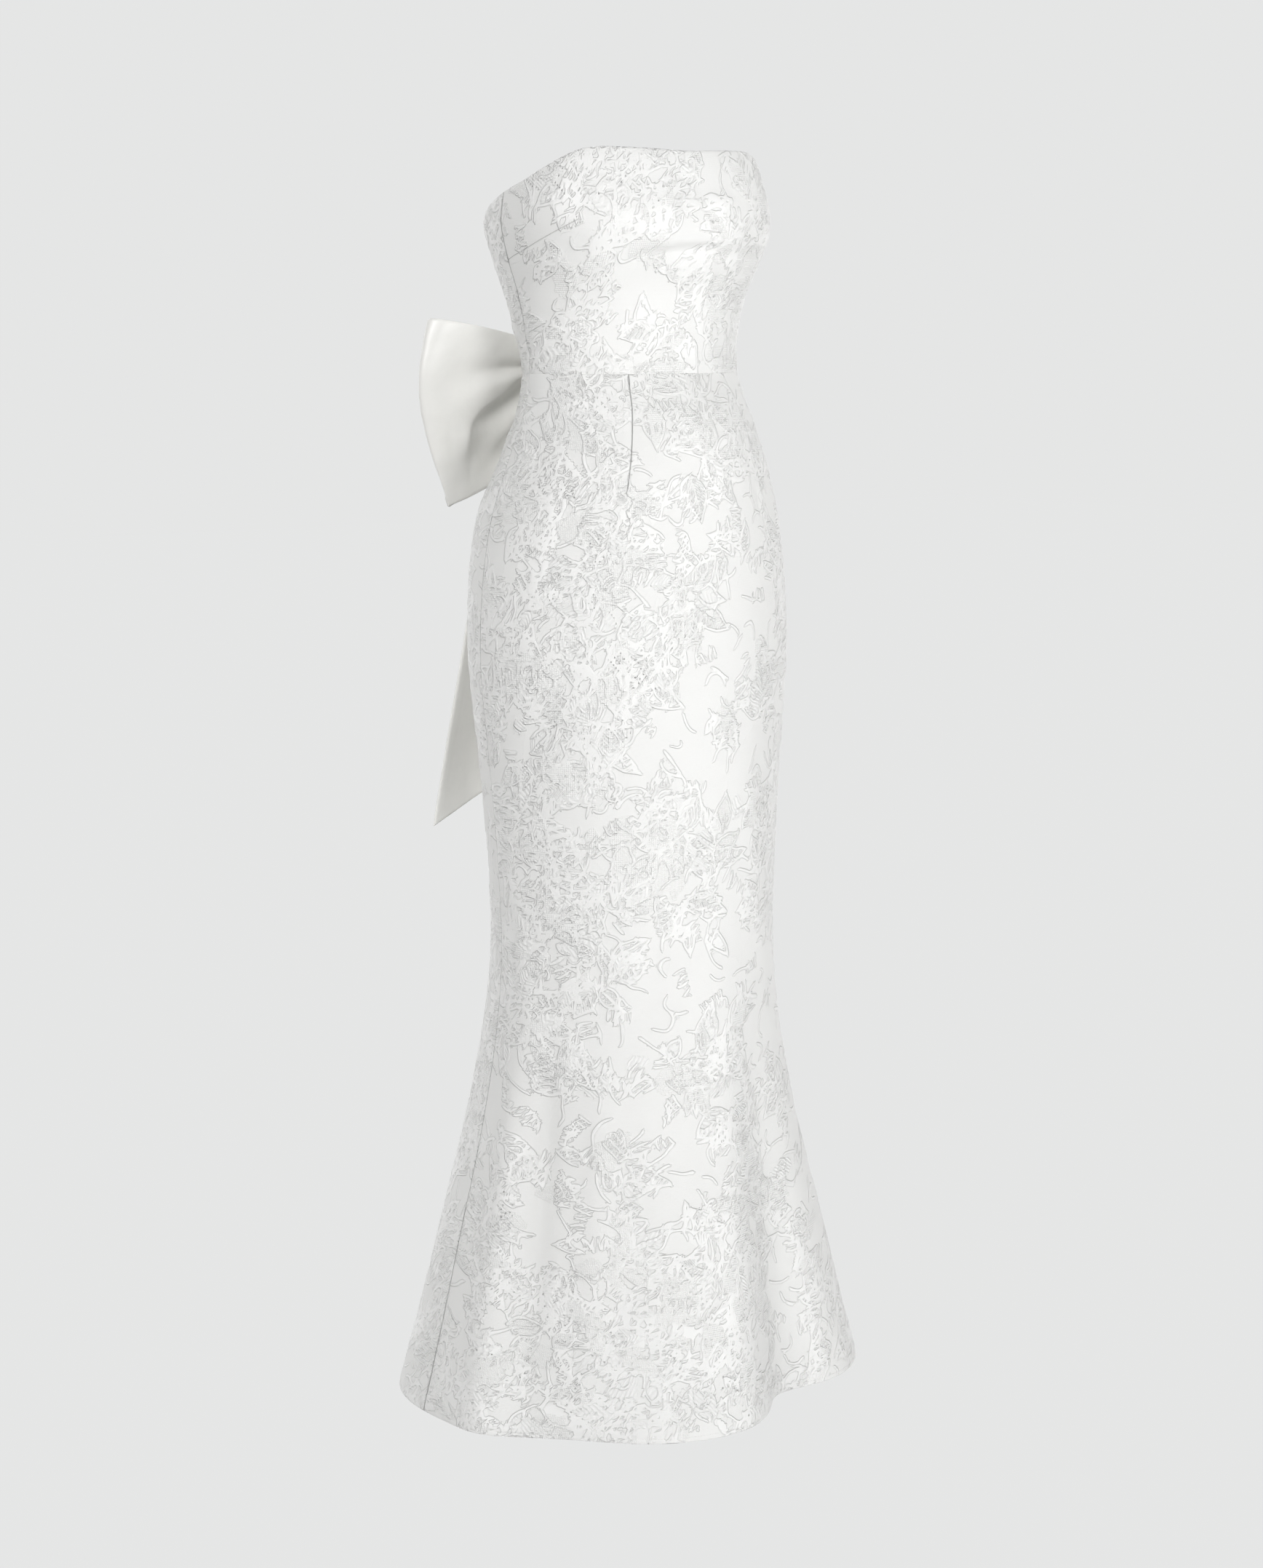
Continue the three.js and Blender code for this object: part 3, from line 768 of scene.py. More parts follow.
def jacquard_panel(name, low, high, cloth, seed):
    """One panel of the gown with its woven relief, creases, darts and turned edges."""
    skirt, front = name.startswith("skirt"), "front" in name
    step = mesh_step(cloth)
    heights = -HEM_Z if skirt else BODICE_HEIGHT
    widest = math.radians(high - low) * (SKIRT_RADIUS if skirt else BODICE_RADIUS)
    across, up = stations(widest, step), stations(heights, step)
    if skirt and front:
        for sign in (-1, 1):
            across = with_neighbours(across, 0.5 + sign * DART_ANGLE / (high - low), WAIST_ARC)
    if skirt:
        up = with_neighbours(up, cloth.hem_stitch / heights, heights, (0.0005,))
    share, rise = np.meshgrid(across, up)
    angle, z, points = panel_form(skirt, low, high, share, rise)
    middle = int(np.argmin(np.abs(angle[0] - (0 if front else 180))))
    run, climb = path_lengths(points, 1), path_lengths(points, 0)
    run = run - run[:, middle : middle + 1]
    climb = climb - climb[-1:] if skirt else climb
    weave = Weave(run, climb)
    weave_pattern(weave, seed, (run.min(), climb.min()), (run.max(), climb.max()), cloth.spray)
    if skirt and front:
        pucker_chain(weave, angle.ravel(), z.ravel())
    thread = soft_step(0.52, 0.80, weave.grid("thread"))
    vein = weave.grid("vein") * weave.steady()
    turn, away, at_waist, sides = edge_turn(share, rise, widest, heights, skirt)
    darts = (SKIRT_DARTS if skirt else BODICE_DARTS) if front else ()
    aside, near = dart_lines(angle, z, darts)
    pucker = lattice_noise(run, climb, 0.021, seed) - 0.8
    pucker += 0.6 * lattice_noise(run, climb, 0.009, seed + 1)
    crinkle = lattice_noise(run, climb * 0.5 + run * 0.2, 0.0075, seed + 2) - 0.5
    creases = creased(angle, z, SKIRT_CREASES if skirt else BODICE_CREASES)
    formed = points + outward(points) * creases[..., None]
    normal = outward(formed)
    body = np.maximum(np.maximum(weave.grid("petal"), weave.grid("comb")), vein)
    calm = soft_step(0.0015, 0.008, np.minimum(away, at_waist))
    relief = calm * (cloth.relief * (0.75 * thread + 0.3 * body) + cloth.pucker * pucker)
    relief += cloth.pucker * crinkle * np.exp(-((away / 0.016) ** 2)) * soft_step(0.0005, 0.004, away)
    relief -= turn + near * DART_GROOVE * np.exp(-((aside / DART_GROOVE_HALF) ** 2))
    if skirt:
        stitch = (z - HEM_Z - cloth.hem_stitch) / HEM_GROOVE_HALF
        relief -= HEM_GROOVE * np.exp(-(stitch**2))
    outer = formed + normal * relief[..., None]
    inner = (formed - normal * CLOTH)[::4, ::4]
    sides, away = (np.clip(distance / DART_UNIT, 0, 1) for distance in (sides, away))
    layers = {
        "weave": [weave.grid(part) for part in ("thread", "petal", "comb", "busy")],
        "veins": [weave.grid("phase"), vein, sides, weave.grid("off_thread")],
        "seams": [aside / DART_UNIT, near, away, np.ones_like(z)],
    }
    layers = {key: np.stack(values, axis=-1) for key, values in layers.items()}
    return cloth_piece(name, points, outer, inner, run, climb, layers)


# The bow


class Fold(NamedTuple):
    """A fold in a bow loop, with its width and its depth. A minus depth is a valley.

    across is how far across the band it lies at each stop on its way out from the knot.
    """

    across: tuple
    width: float
    depth: float
    stops: tuple = (0.05, 0.28, 0.42, 0.60, 0.74, 0.86)
    strengths: tuple = (1, 1, 0.8, 0.5, 0.15, 0)


class Tuck(NamedTuple):
    """A fold below whose edge the satin is set back, and how far down it stays so."""

    across: tuple
    edge: float
    depth: float
    down: float
    stops: tuple = (0.05, 0.28, 0.41, 0.59, 0.68, 0.73, 0.76)


KNOT_HALF_WIDTH, KNOT_HALF_HEIGHT, KNOT_DEPTH = 0.023, 0.025, 0.040
LOOP_START, LOOP_REACH, LOOP_LEAN, LOOP_BULGE = 0.0200, 0.169, 0.025, 0.029
LOOP_HALF_KNOT, LOOP_HALF_FOLD, LOOP_DROP = 0.017, 0.099, 0.043
LOOP_HALF_THICK, LOOP_CLOSED_BELOW, LOOP_PINCH = 0.023, 0.35, 0.005
LOOP_QUICK_OPENING, LOOP_AWAY, LOOP_SLOPE, LOOP_SWEEP = 0.64, 0.118, 0.3, 0.05
LOOP_FULLNESS, LOOP_TOP_SLOWER, LOOP_SOFT_BEND = 0.35, 0.34, 0.045
SATIN = 0.0016

# How far the outer fold's edge stands out at places across the band.
LOOP_TRIM = (
    (-1, -0.62, -0.17, 0.27, 0.66, 1),
    (0.0050, -0.0026, -0.0026, 0.0022, 0.0026, 0.0036),
)

FRONT_FOLDS = (
    Fold(
        (0.42, 0.44, 0.43, 0.40, 0.36, 0.34),
        0.085,
        -0.0075,
        strengths=(0.35, 0.8, 0.8, 0.5, 0.15, 0),
    ),
    Fold((0.40, 0.36, 0.26, 0.16, 0.10, 0.06), 0.15, 0.0040),
    Fold((0.78, 0.80, 0.80, 0.80, 0.80, 0.80), 0.20, 0.0036),
    Fold((-0.30, -0.34, -0.38, -0.44, -0.50, -0.56), 0.16, 0.0034),
    Fold((-0.60, -0.62, -0.66, -0.72, -0.76, -0.80), 0.14, -0.0040),
    Fold(
        (-0.10, -0.28, -0.36, -0.36, -0.36, -0.38),
        0.08,
        0.0044,
        strengths=(0, 0, 0, 0.3, 1, 0),
    ),
)
FRONT_TUCKS = (Tuck((0.34, 0.26, 0.08, -0.06, -0.18, -0.36, -0.52), 0.060, 0.0060, 0.62),)
BACK_FOLDS = (
    Fold((0.34, 0.38, 0.42, 0.44, 0.46, 0.48), 0.14, -0.0095),
    Fold((0.10, 0.10, 0.12, 0.14, 0.16, 0.18), 0.16, 0.0044),
    Fold((0.66, 0.70, 0.74, 0.76, 0.78, 0.80), 0.18, 0.0036),
    Fold(
        (-0.22, -0.24, -0.28, -0.34, -0.40, -0.46),
        0.13,
        -0.0100,
        strengths=(1, 1, 0.9, 0.7, 0.35, 0),
    ),
    Fold((-0.50, -0.54, -0.60, -0.66, -0.72, -0.78), 0.18, 0.0036),
)
BACK_TUCKS = (Tuck((-0.55, -0.58, -0.64, -0.72, -0.80, -0.90, -1.00), 0.12, 0.0045, 0.60),)
FAR_LOOP_SHIFT = 0.05


def loop_points(side, u, v):
    """One loop: a band that leaves the knot, rounds the outer fold and comes back, u along it."""
    across = 2 * v - 1
    turn = math.tau * u
    along = (1 - np.cos(turn)) / 2
    fold = LOOP_REACH + LOOP_LEAN * across - LOOP_BULGE * across**2
    fold = fold + smooth_read(*LOOP_TRIM, across)
    quick = LOOP_QUICK_OPENING - LOOP_TOP_SLOWER * v
    opened = along + (1 - (1 - along) ** 5 - along) * quick
    half = LOOP_HALF_KNOT + (LOOP_HALF_FOLD - LOOP_HALF_KNOT) * opened
    z = half * across - LOOP_DROP * opened
    layer = np.sign(np.cos(turn / 2))
    thick = LOOP_HALF_THICK * (LOOP_CLOSED_BELOW + (1 - LOOP_CLOSED_BELOW) * v)
    belly = thick * np.sin(turn) * along**LOOP_FULLNESS
    pinch = LOOP_PINCH * np.cos(turn / 2) ** 2 * layer
    out = LOOP_START + (fold - LOOP_START) * along
    lower = (np.hypot(z, LOOP_SOFT_BEND) - LOOP_SOFT_BEND - z) / 2
    back = LOOP_AWAY + LOOP_SLOPE * lower + LOOP_SWEEP * out
    return np.stack([side * out, back + belly + pinch, z], axis=-1), across, along


def folded(across, along, folds, tucks, side):
    """How far a layer's folds and tucks move the satin out."""
    out = np.zeros_like(across)
    shift = FAR_LOOP_SHIFT if side > 0 else 0
    for fold in folds:
        line = np.interp(along, fold.stops, fold.across)
        line = line + shift * np.sin(9 * along + 5 * fold.across[0])
        width = fold.width * (0.75 + 1.5 * along)
        strength = np.interp(along, (0, *fold.stops), (0, *fold.strengths))
        out += fold.depth * np.exp(-(((across - line) / width) ** 2)) * strength
    for tuck in tucks:
        below = np.interp(along, tuck.stops, tuck.across) - shift * 1.4 - across
        ends = soft_step(0.02, 0.16, along) * soft_step(0.80, 0.52, along)
        back = soft_step(-0.4 * tuck.edge, tuck.edge, below)
        back = back * soft_step(tuck.down, 0.25 * tuck.down, below)
        out -= tuck.depth * back * ends
    return out


def hem_edge(away):
    """The rounded edge of faced satin, and the faint ridge of the seam allowance inside it."""
    return 0.00022 * soft_step(0.0130, 0.0105, away) - 0.0010 * np.exp(-((away / 0.0011) ** 2))


def satin_piece(name, points, formed, away, run, climb):
    """A wall of satin whose edges are turned in, away being how far off they are."""
    normal = outward(formed)
    outer = formed + normal * hem_edge(away)[..., None]
    return cloth_piece(name, points, outer, (formed - normal * SATIN)[::2, ::2], run, climb)


def satin_loop(name, side, bow):
    """One loop of the bow, pinched at the knot, with folds running out from it."""
    step = mesh_step(bow)
    along_band, up_band = stations(0.33, step), stations(0.20, step)
    u, v = np.meshgrid(along_band, up_band)
    if side > 0:
        u = 1 - u
    points, across, along = loop_points(side, u, v)
    layers = ((FRONT_FOLDS, FRONT_TUCKS), (BACK_FOLDS, BACK_TUCKS))
    fold_out = np.where(u > 0.5, *(folded(across, along, *layer, side) for layer in layers))
    run, climb = path_lengths(points, 1), path_lengths(points, 0)
    slack = lattice_noise(run, climb, 0.045, 11 + side) - 0.5
    crush = lattice_noise(run + 0.4 * climb, climb, 0.012, 17 + side) - 0.5
    fade = soft_step(0.02, 0.30, along)
    out = bow.fold * fold_out + fade * (0.0045 * slack + 0.0006 * crush)
    formed = points + outward(points) * out[..., None]
    half = LOOP_HALF_KNOT + (LOOP_HALF_FOLD - LOOP_HALF_KNOT) * along
    return satin_piece(name, points, formed, np.minimum(v, 1 - v) * 2 * half, run, climb)


TAIL_OUTER, TAIL_INNER = (0.021, 0.144), (0.002, 0.012)
TAIL_LENGTHS, TAIL_FAN = (0.481, 0.421), 0.7
TAIL_TOP, TAIL_CLEAR, TAIL_WAVE = 0.0257, 0.004, 0.005
TAIL_FREE_Z = -0.215
TAIL_FOLDS = ((0.18, 0.0016, 0.10), (0.46, -0.0022, 0.12), (0.76, 0.0018, 0.09))


def satin_tail(name, side, bow):
    """One tail of the bow, with soft lengthwise folds below the knot and a slanted end."""
    step = mesh_step(bow)
    across, down = stations(0.13, step), stations(0.45, step)
    u, v = np.meshgrid(across, down)
    inward = 1 - u if side > 0 else u
    share = 1 - v
    longest, shortest = TAIL_LENGTHS
    z = -(TAIL_TOP + (longest + (shortest - longest) * inward - TAIL_TOP) * share)
    outer_edge = TAIL_OUTER[0] + (TAIL_OUTER[1] - TAIL_OUTER[0]) * share**TAIL_FAN
    inner_edge = TAIL_INNER[0] + (TAIL_INNER[1] - TAIL_INNER[0]) * share
    out = outer_edge + (inner_edge - outer_edge) * inward
    wave = TAIL_WAVE * share * (1 - np.cos(math.tau * inward)) / 2
    seat = gown_points(np.full_like(z, 180.0), np.maximum(z, TAIL_FREE_Z))[..., 1]
    seat = seat + TAIL_CLEAR + SATIN
    folds = np.zeros_like(z)
    for place, depth, width in TAIL_FOLDS:
        line = place + 0.05 * np.sin(5 * share + 7 * place + side)
        folds += depth * np.exp(-(((inward - line) / width) ** 2))
    folds *= soft_step(0.0, 0.06, share) * (1 - 0.75 * soft_step(0.10, 0.75, share))
    slack = lattice_noise(inward * (outer_edge - inner_edge), z, 0.070, 23 + side) - 0.5
    slack = 0.0030 * slack * soft_step(0.1, 0.6, share)
    back = seat + wave + np.maximum(folds * bow.fold + slack, -0.0022)
    points = np.stack([side * out, back, z], axis=-1)
    run, climb = path_lengths(points, 1), path_lengths(points, 0)
    width, length = np.ptp(run, axis=1)[:, None], np.ptp(climb, axis=0)[None, :]
    away = np.minimum(np.minimum(u, 1 - u) * width, np.minimum(v, 1 - v) * length)
    return satin_piece(name, points, points, away, run, climb)


# Each pleat of the knot: its place across, its width and its depth.
KNOT_PLEATS = (
    (-0.62, 0.11, 0.0016),
    (-0.30, 0.09, -0.0022),
    (0.02, 0.12, 0.0020),
    (0.34, 0.08, -0.0024),
    (0.66, 0.11, 0.0015),
)
KNOT_RINGS, KNOT_AROUND, KNOT_FLAT = 60, 96, (0.050, 0.130)


def satin_knot(name, bow):
    """The wrap round the middle of the bow, with soft pleats, sunk at its sides round the loops."""
    bm = bmesh.new()
    uv = bm.loops.layers.uv.new("cloth")
    made = bmesh.ops.create_grid(bm, x_segments=KNOT_RINGS, y_segments=KNOT_AROUND, size=0.5)["verts"]
    flat = {}
    for vert in made:
        place, turn = 2 * vert.co.x, math.tau * (vert.co.y + 0.5)
        flat[vert] = (place * 0.030, (vert.co.y + 0.5) * 0.150)
        edge = max(0.0, abs(place) - 0.72) / 0.28
        x = math.copysign(KNOT_HALF_WIDTH * min(abs(place) / 0.78, 1) ** 0.9, place)
        if edge > 0:
            x = math.copysign(KNOT_HALF_WIDTH - 0.0042 * soft_step(0.25, 1.0, edge), place)
        radius = 1 - 0.18 * max(0.0, abs(place) - 0.45) ** 2 - 0.96 * float(soft_step(0.05, 1.0, edge))
        radius = 0.0 if abs(place) > 0.999 else max(radius, 0.0)
        pleat = 0.0
        for middle, width, depth in KNOT_PLEATS:
            line = middle + 0.06 * math.sin(2 * turn + 5 * middle)
            pleat += depth * math.exp(-(((place - line) / width) ** 2))
        sine, cosine = math.sin(turn), math.cos(turn)
        z = KNOT_HALF_HEIGHT * radius * float(signed_power(cosine, 0.72))
        share = 0.5 + 0.5 * radius * float(signed_power(sine, 0.72))
        widest = float(gown_points(np.array(90.0), np.array(z))[0])
        angle = 180 - math.degrees(math.asin(x / widest))
        near_face = float(gown_points(np.array(angle), np.array(z))[1]) + 0.0008
        far_face = centre_back(0) + KNOT_DEPTH * (1 - 0.24 * (z / KNOT_HALF_HEIGHT) ** 2) - 0.0012
        y = near_face + (far_face - near_face) * share
        room = min(1.0, max(0.0, share - 0.12) / 0.3) * min(1.0, radius / 0.6)
        y += bow.fold * pleat * sine * room
        z += bow.fold * 0.5 * pleat * cosine * room
        vert.co = (x, y, max(-KNOT_HALF_HEIGHT, min(KNOT_HALF_HEIGHT, z)))
    lay_cloth(bm, uv, flat)
    bmesh.ops.remove_doubles(bm, verts=bm.verts, dist=0.00002)
    bmesh.ops.recalc_face_normals(bm, faces=bm.faces)
    return piece_from(bm, name)


# The zip


def zip_top():
    return float(neckline_z(np.array(180.0))) - ZIP_BELOW_NECK


def zip_tape(name, zipper):
    """The zip's tape inside the centre back, a thin closed strip."""
    top = zip_top()
    across, up = stations(0.007, 0.0008, (0.0003,)), stations(top - ZIP_END_Z, 0.006, (0.0004,))
    u, v = np.meshgrid(across, up)
    z = ZIP_END_Z + (top - ZIP_END_Z) * v
    x = zipper.tape_half * (1 - 2 * u)
    y = gown_points(np.full_like(z, 180.0), z)[..., 1] - CLOTH - 0.0009 - 0.0002 * (np.abs(x) < 0.0005)
    points = np.stack([x, y, z], axis=-1)
    inner = (points - np.array([0, 0.00045, 0]))[::2, ::2]
    return wall_mesh(name, points, inner, np.stack([x, z], axis=-1))


COIL_STEPS, COIL_APART, COIL_WIDE, COIL_DEEP, COIL_SET_IN = 8, 0.0011, 0.0014, 0.00035, 0.0019


def zip_coil(name, zipper):
    """The two meshed coils of the zip, each one long fine helix."""
    curve = bpy.data.curves.new(name, "CURVE")
    curve.dimensions, curve.use_fill_caps = "3D", True
    curve.bevel_depth, curve.bevel_resolution = zipper.wire / 2, 1
    turns = int((zip_top() - ZIP_END_Z - 0.004) / zipper.pitch)
    for side in (-1, 1):
        spline = curve.splines.new("POLY")
        spline.points.add(turns * COIL_STEPS)
        for i, point in enumerate(spline.points):
            turn = math.tau * i / COIL_STEPS
            z = ZIP_END_Z + 0.002 + zipper.pitch * (i / COIL_STEPS - side * 0.25)
            x = side * COIL_APART + COIL_WIDE * math.cos(turn)
            y = centre_back(z) - CLOTH - COIL_SET_IN + COIL_DEEP * math.sin(turn)
            point.co = (x, y, z, 1)
    shaped = linked(name + "_curve", curve)
    bpy.context.view_layer.update()
    shaped_now = shaped.evaluated_get(bpy.context.evaluated_depsgraph_get())
    mesh = bpy.data.meshes.new_from_object(shaped_now)
    bpy.data.objects.remove(shaped)
    return linked(name, mesh)


def hem_stitches(name, low, high, cloth):
    """The fine machine stitches of one panel's hem, in the groove just above its edge."""
    bm = bmesh.new()
    z = HEM_Z + cloth.hem_stitch
    angles = np.linspace(low + 0.5, high - 0.5, 2000)
    path = gown_points(angles, np.full_like(angles, z))
    length = path_lengths(path, 0)
    count = int(length[-1] / cloth.stitch)
    spots = np.interp((np.arange(count) + 0.5) / count * length[-1], length, angles)
    for angle in spots:
        a, b = gown_points(np.array([angle - 0.25, angle + 0.25]), np.array([z, z]))
        along = Vector(b - a).normalized()
        out = along.cross(Vector((0, 0, 1))).normalized()
        middle = Vector((a + b) / 2) - out * 0.00025
        turn = Matrix((along, out, along.cross(out))).transposed().to_4x4()
        place = Matrix.Translation(middle) @ turn
        place = place @ Matrix.Diagonal((cloth.stitch * 0.36, 0.00030, 0.00028, 1))
        bmesh.ops.create_icosphere(bm, subdivisions=1, radius=1, matrix=place)
    for face in bm.faces:
        face.smooth = True
    return piece_from(bm, name)


# Materials

STUDIO_GLEAM = (0.002, 0.002, 0.002, 1)


class Wire:
    """A socket of a finish. Arithmetic on it adds Math nodes."""

    def __init__(self, finish, socket):
        self.finish, self.socket = finish, socket

    def output(self, name):
        return Wire(self.finish, self.socket.node.outputs[name])

    def math(self, operation, *values):
        return self.finish.node("ShaderNodeMath", dict(enumerate(values)), operation=operation)

    def __add__(self, other):
        return self.math("ADD", self, other)

    __radd__ = __add__

    def __mul__(self, other):
        return self.math("MULTIPLY", self, other)

    __rmul__ = __mul__

    def __sub__(self, other):
        return self.math("SUBTRACT", self, other)

    def __rsub__(self, other):
        return self.math("SUBTRACT", other, self)

    def sine(self):
        return self.math("SINE", self)

    def size(self):
        return self.math("ABSOLUTE", self)

    def step(self, low, high):
        """A smooth step from 0 at low to 1 at high."""
        ends = {"Value": self, 1: low, 2: high}
        return self.finish.node("ShaderNodeMapRange", ends, interpolation_type="SMOOTHSTEP")


class Finish:
    """A material while it is made, round one Principled shader."""

    def __init__(self, name, **constants):
        self.material = bpy.data.materials.new(name)
        self.material.use_nodes = True
        self.tree = self.material.node_tree
        self.shader = self.tree.nodes["Principled BSDF"]
        for socket, value in constants.items():
            self.shader.inputs[socket.replace("_", " ").title()].default_value = value

    def node(self, kind, inputs, output=0, **settings):
        """Adds a node, with its settings first, and returns one of its outputs."""
        node = self.tree.nodes.new(kind)
        for setting, value in settings.items():
            setattr(node, setting, value)
        for socket, value in inputs.items():
            self.feed(node.inputs[socket], value)
        return Wire(self, node.outputs[output])

    def feed(self, socket, value):
        if isinstance(value, Wire):
            self.tree.links.new(value.socket, socket)
        else:
            socket.default_value = value

    def mix(self, factor, low, high):
        """A colour between two others."""
        return self.node("ShaderNodeMix", {0: factor, 6: low, 7: high}, output=2, data_type="RGBA")

    def noise(self, place, scale, detail=2.0, roughness=0.5):
        inputs = {"Vector": place, "Scale": scale, "Detail": detail, "Roughness": roughness}
        return self.node("ShaderNodeTexNoise", inputs)

    def place(self):
        return self.node("ShaderNodeTexCoord", {}, output="Object")

    def cloth_place(self):
        """The place on the cloth's own plane: across, up, and both as a vector."""
        both = self.node("ShaderNodeUVMap", {}, uv_map="cloth")
        apart = self.node("ShaderNodeSeparateXYZ", {0: both})
        return apart, apart.output("Y"), both

    def layer(self, name):
        """The four values of one of the mesh's own attributes."""
        colour = self.node("ShaderNodeAttribute", {}, output="Color", attribute_name=name)
        parts = self.node("ShaderNodeSeparateColor", {0: colour})
        return parts, parts.output("Green"), parts.output("Blue"), colour.output("Alpha")

    def done(self, colour, roughness, height):
        """Links the colour, roughness and height in metres, and returns the material."""
        bump = self.node("ShaderNodeBump", {"Height": height, "Distance": 1.0, "Strength": 1.0})
        for socket, value in (("Base Color", colour), ("Roughness", roughness), ("Normal", bump)):
            self.feed(self.shader.inputs[socket], value)
        return self.material


def tinted(colour, by):
    """A colour made lighter or darker."""
    return (*(min(1.0, part * by) for part in colour[:3]), 1.0)


def jacquard_finish(cloth):
    """Matte crepe ground with silkier raised threads, petals and ridges, and crisp darts, with painted
    sheen on the raised silk and painted shade in its hollows, along the darts and seams and at the
    edges.
    """
    finish = Finish("white jacquard", sheen_weight=0.10, sheen_roughness=0.45)
    across, up, both = finish.cloth_place()
    near_thread, petal, comb, busy = finish.layer("weave")
    phase, vein, side, off_thread = finish.layer("veins")
    aside, near, edge, _ = finish.layer("seams")
    ruffle = finish.noise(both, 330.0, 2.0, 0.55)
    off = off_thread.size() + (ruffle - 0.5) * 0.08
    drawn = near_thread.step(0.44, 0.60)
    thread = (1 - off.step(0.12, 0.29)) * drawn
    # The foot of each thread, where painted shade goes.
    foot = off.step(0.20, 0.30) * (1 - off.step(0.30, 0.46)) * drawn
    lean = math.tau / (cloth.rib * math.sqrt(2))
    wander = (ruffle - 0.5) * 1.6
    honeycomb = ((across + up) * lean + wander).sine() * ((across - up) * lean - wander).sine()
    honeycomb = honeycomb * 0.5 + 0.5
    combed, veined = comb.step(0.40, 0.62), vein.step(0.40, 0.62)
    wave = (phase * math.tau + wander).sine() * 0.5 + 0.5
    # Painted shade in the hollows: at each thread's foot, in the honeycomb's pits and in the ridges'
    # grooves.
    painted_hollow_shade = foot * 0.10 + (1 - honeycomb) * combed * 0.05 + (1 - wave) * veined * 0.06
    honeycomb, ridges = honeycomb * combed, wave * veined
    petals = petal.step(0.40, 0.62)
    crepe = finish.noise(both, 520.0, 2.0, 0.6)
    net = crepe * (1 - petals) * (0.25 + busy.step(0.1, 0.6) * 0.75)
    picks = (up * (math.tau / 0.0013)).sine() * (1 - busy)
    # The dart's stitched line: a groove in the height and a line of painted shade in the colour.
    stitched = near * (1 - (aside * DART_UNIT).size().step(0.00015, 0.00075))
    # A line of painted shade along the side seams, where the panels meet.
    seam = 1 - side.step(0.02, 0.10)
    height = (thread * 1.35 + (ridges + honeycomb) * 0.70 + petals * 0.35) * cloth.relief
    height = height + net * 0.00040 + picks * 0.00002 - stitched * DART_GROOVE
    # The raised silk takes the lighter raised colour: partly its own gloss, partly a painted sheen.
    silk_and_painted_sheen = (thread * 0.8 + petals * 0.7 + combed * 0.6 + veined * 0.6).step(0.0, 1.0)
    colour = finish.mix(silk_and_painted_sheen, tuple(cloth.ground), tuple(cloth.raised))
    cloudy = finish.noise(both, 22.0, 2.0, 0.5).step(0.30, 0.72)
    # Painted shade: the cloth a little darker within about a millimetre of the seams and turned edges.
    darkened = (1 - edge.step(0.02, 0.12)) * 0.12
    # Random cloudy tone, then the painted shades: at the edges, in the hollows, along the darts and
    # along the side seams.
    shades = [(cloudy * 0.4, 0.975), (darkened, 0.86), (painted_hollow_shade, 0.72)]
    shades += [(stitched * 0.75, 0.34), (seam * 0.75, 0.40)]
    for where, shade in shades:
        colour = finish.mix(where, colour, tinted(cloth.ground, shade))
    roughness = 0.64 - silk_and_painted_sheen * 0.22 + (crepe - 0.5) * 0.10
    return finish.done(colour, roughness, height)


def satin_finish(bow):
    """Heavy plain satin: a fine twill, a soft gleam and a little crush."""
    finish = Finish("white satin", sheen_weight=0.10, sheen_roughness=0.35)
    across, up, both = finish.cloth_place()
    twill = ((across + up * 0.55) * (math.tau / 0.0009)).sine() * 0.5 + 0.5
    slub = finish.noise(both, 380.0, 2.0, 0.55)
    crush = finish.noise(both, 60.0, 3.0, 0.55)
    height = twill * 0.000035 + slub * 0.00007 + crush * 0.00035
    colour = finish.mix(crush.step(0.30, 0.75) * 0.6, tuple(bow.colour), tinted(bow.colour, 0.965))
    colour = finish.mix(twill * 0.12, colour, tinted(bow.colour, 0.94))
    roughness = 0.32 + (slub - 0.5) * 0.10 + (crush - 0.5) * 0.08
    return finish.done(colour, roughness, height)


def tape_finish(zipper):
    """The woven tape: fine ribs along the zip."""
    finish = Finish("zip tape", sheen_weight=0.05)
    across, up, both = finish.cloth_place()
    ribs = (across * (math.tau / 0.0007)).sine() * 0.5 + 0.5
    picks = (up * (math.tau / 0.0009)).sine() * 0.5 + 0.5
    weave = finish.noise(both, 1500.0)
    colour = finish.mix(ribs * 0.35 + weave * 0.2, tuple(zipper.colour), tinted(zipper.colour, 0.86))
    return finish.done(colour, 0.74 + weave * 0.10, ribs * 0.00008 + picks * 0.00005)


def coil_finish(zipper):
    """Clean nylon filament."""
    finish = Finish("zip coil")
    mottle = finish.noise(finish.place(), 900.0)
    colour = finish.mix(mottle * 0.5, tinted(zipper.colour, 1.02), tinted(zipper.colour, 0.92))
    return finish.done(colour, 0.36 + mottle * 0.10, mottle * 0.00003)


def enamel_finish(zipper):
    """White baked enamel over metal, a little worn where the pull rubs."""
    finish = Finish("zip enamel", coat_weight=0.35, coat_roughness=0.12)
    place = finish.place()
    rubbed = finish.noise(place, 620.0, 3.0, 0.6).step(0.64, 0.74)
    peel = finish.noise(place, 1400.0)
    colour = finish.mix(rubbed * 0.55, tuple(zipper.enamel), (0.55, 0.55, 0.54, 1))
    return finish.done(colour, 0.28 + rubbed * 0.15 + peel * 0.05, peel * 0.00002 - rubbed * 0.00003)


def thread_finish(cloth):
    """Twisted sewing thread, as white as the cloth."""
    finish = Finish("sewing thread")
    twist = finish.noise(finish.place(), 1100.0)
    colour = finish.mix(twist * 0.6, tinted(cloth.ground, 0.98), tinted(cloth.ground, 0.84))
    return finish.done(colour, 0.55 + twist * 0.12, twist * 0.00004)


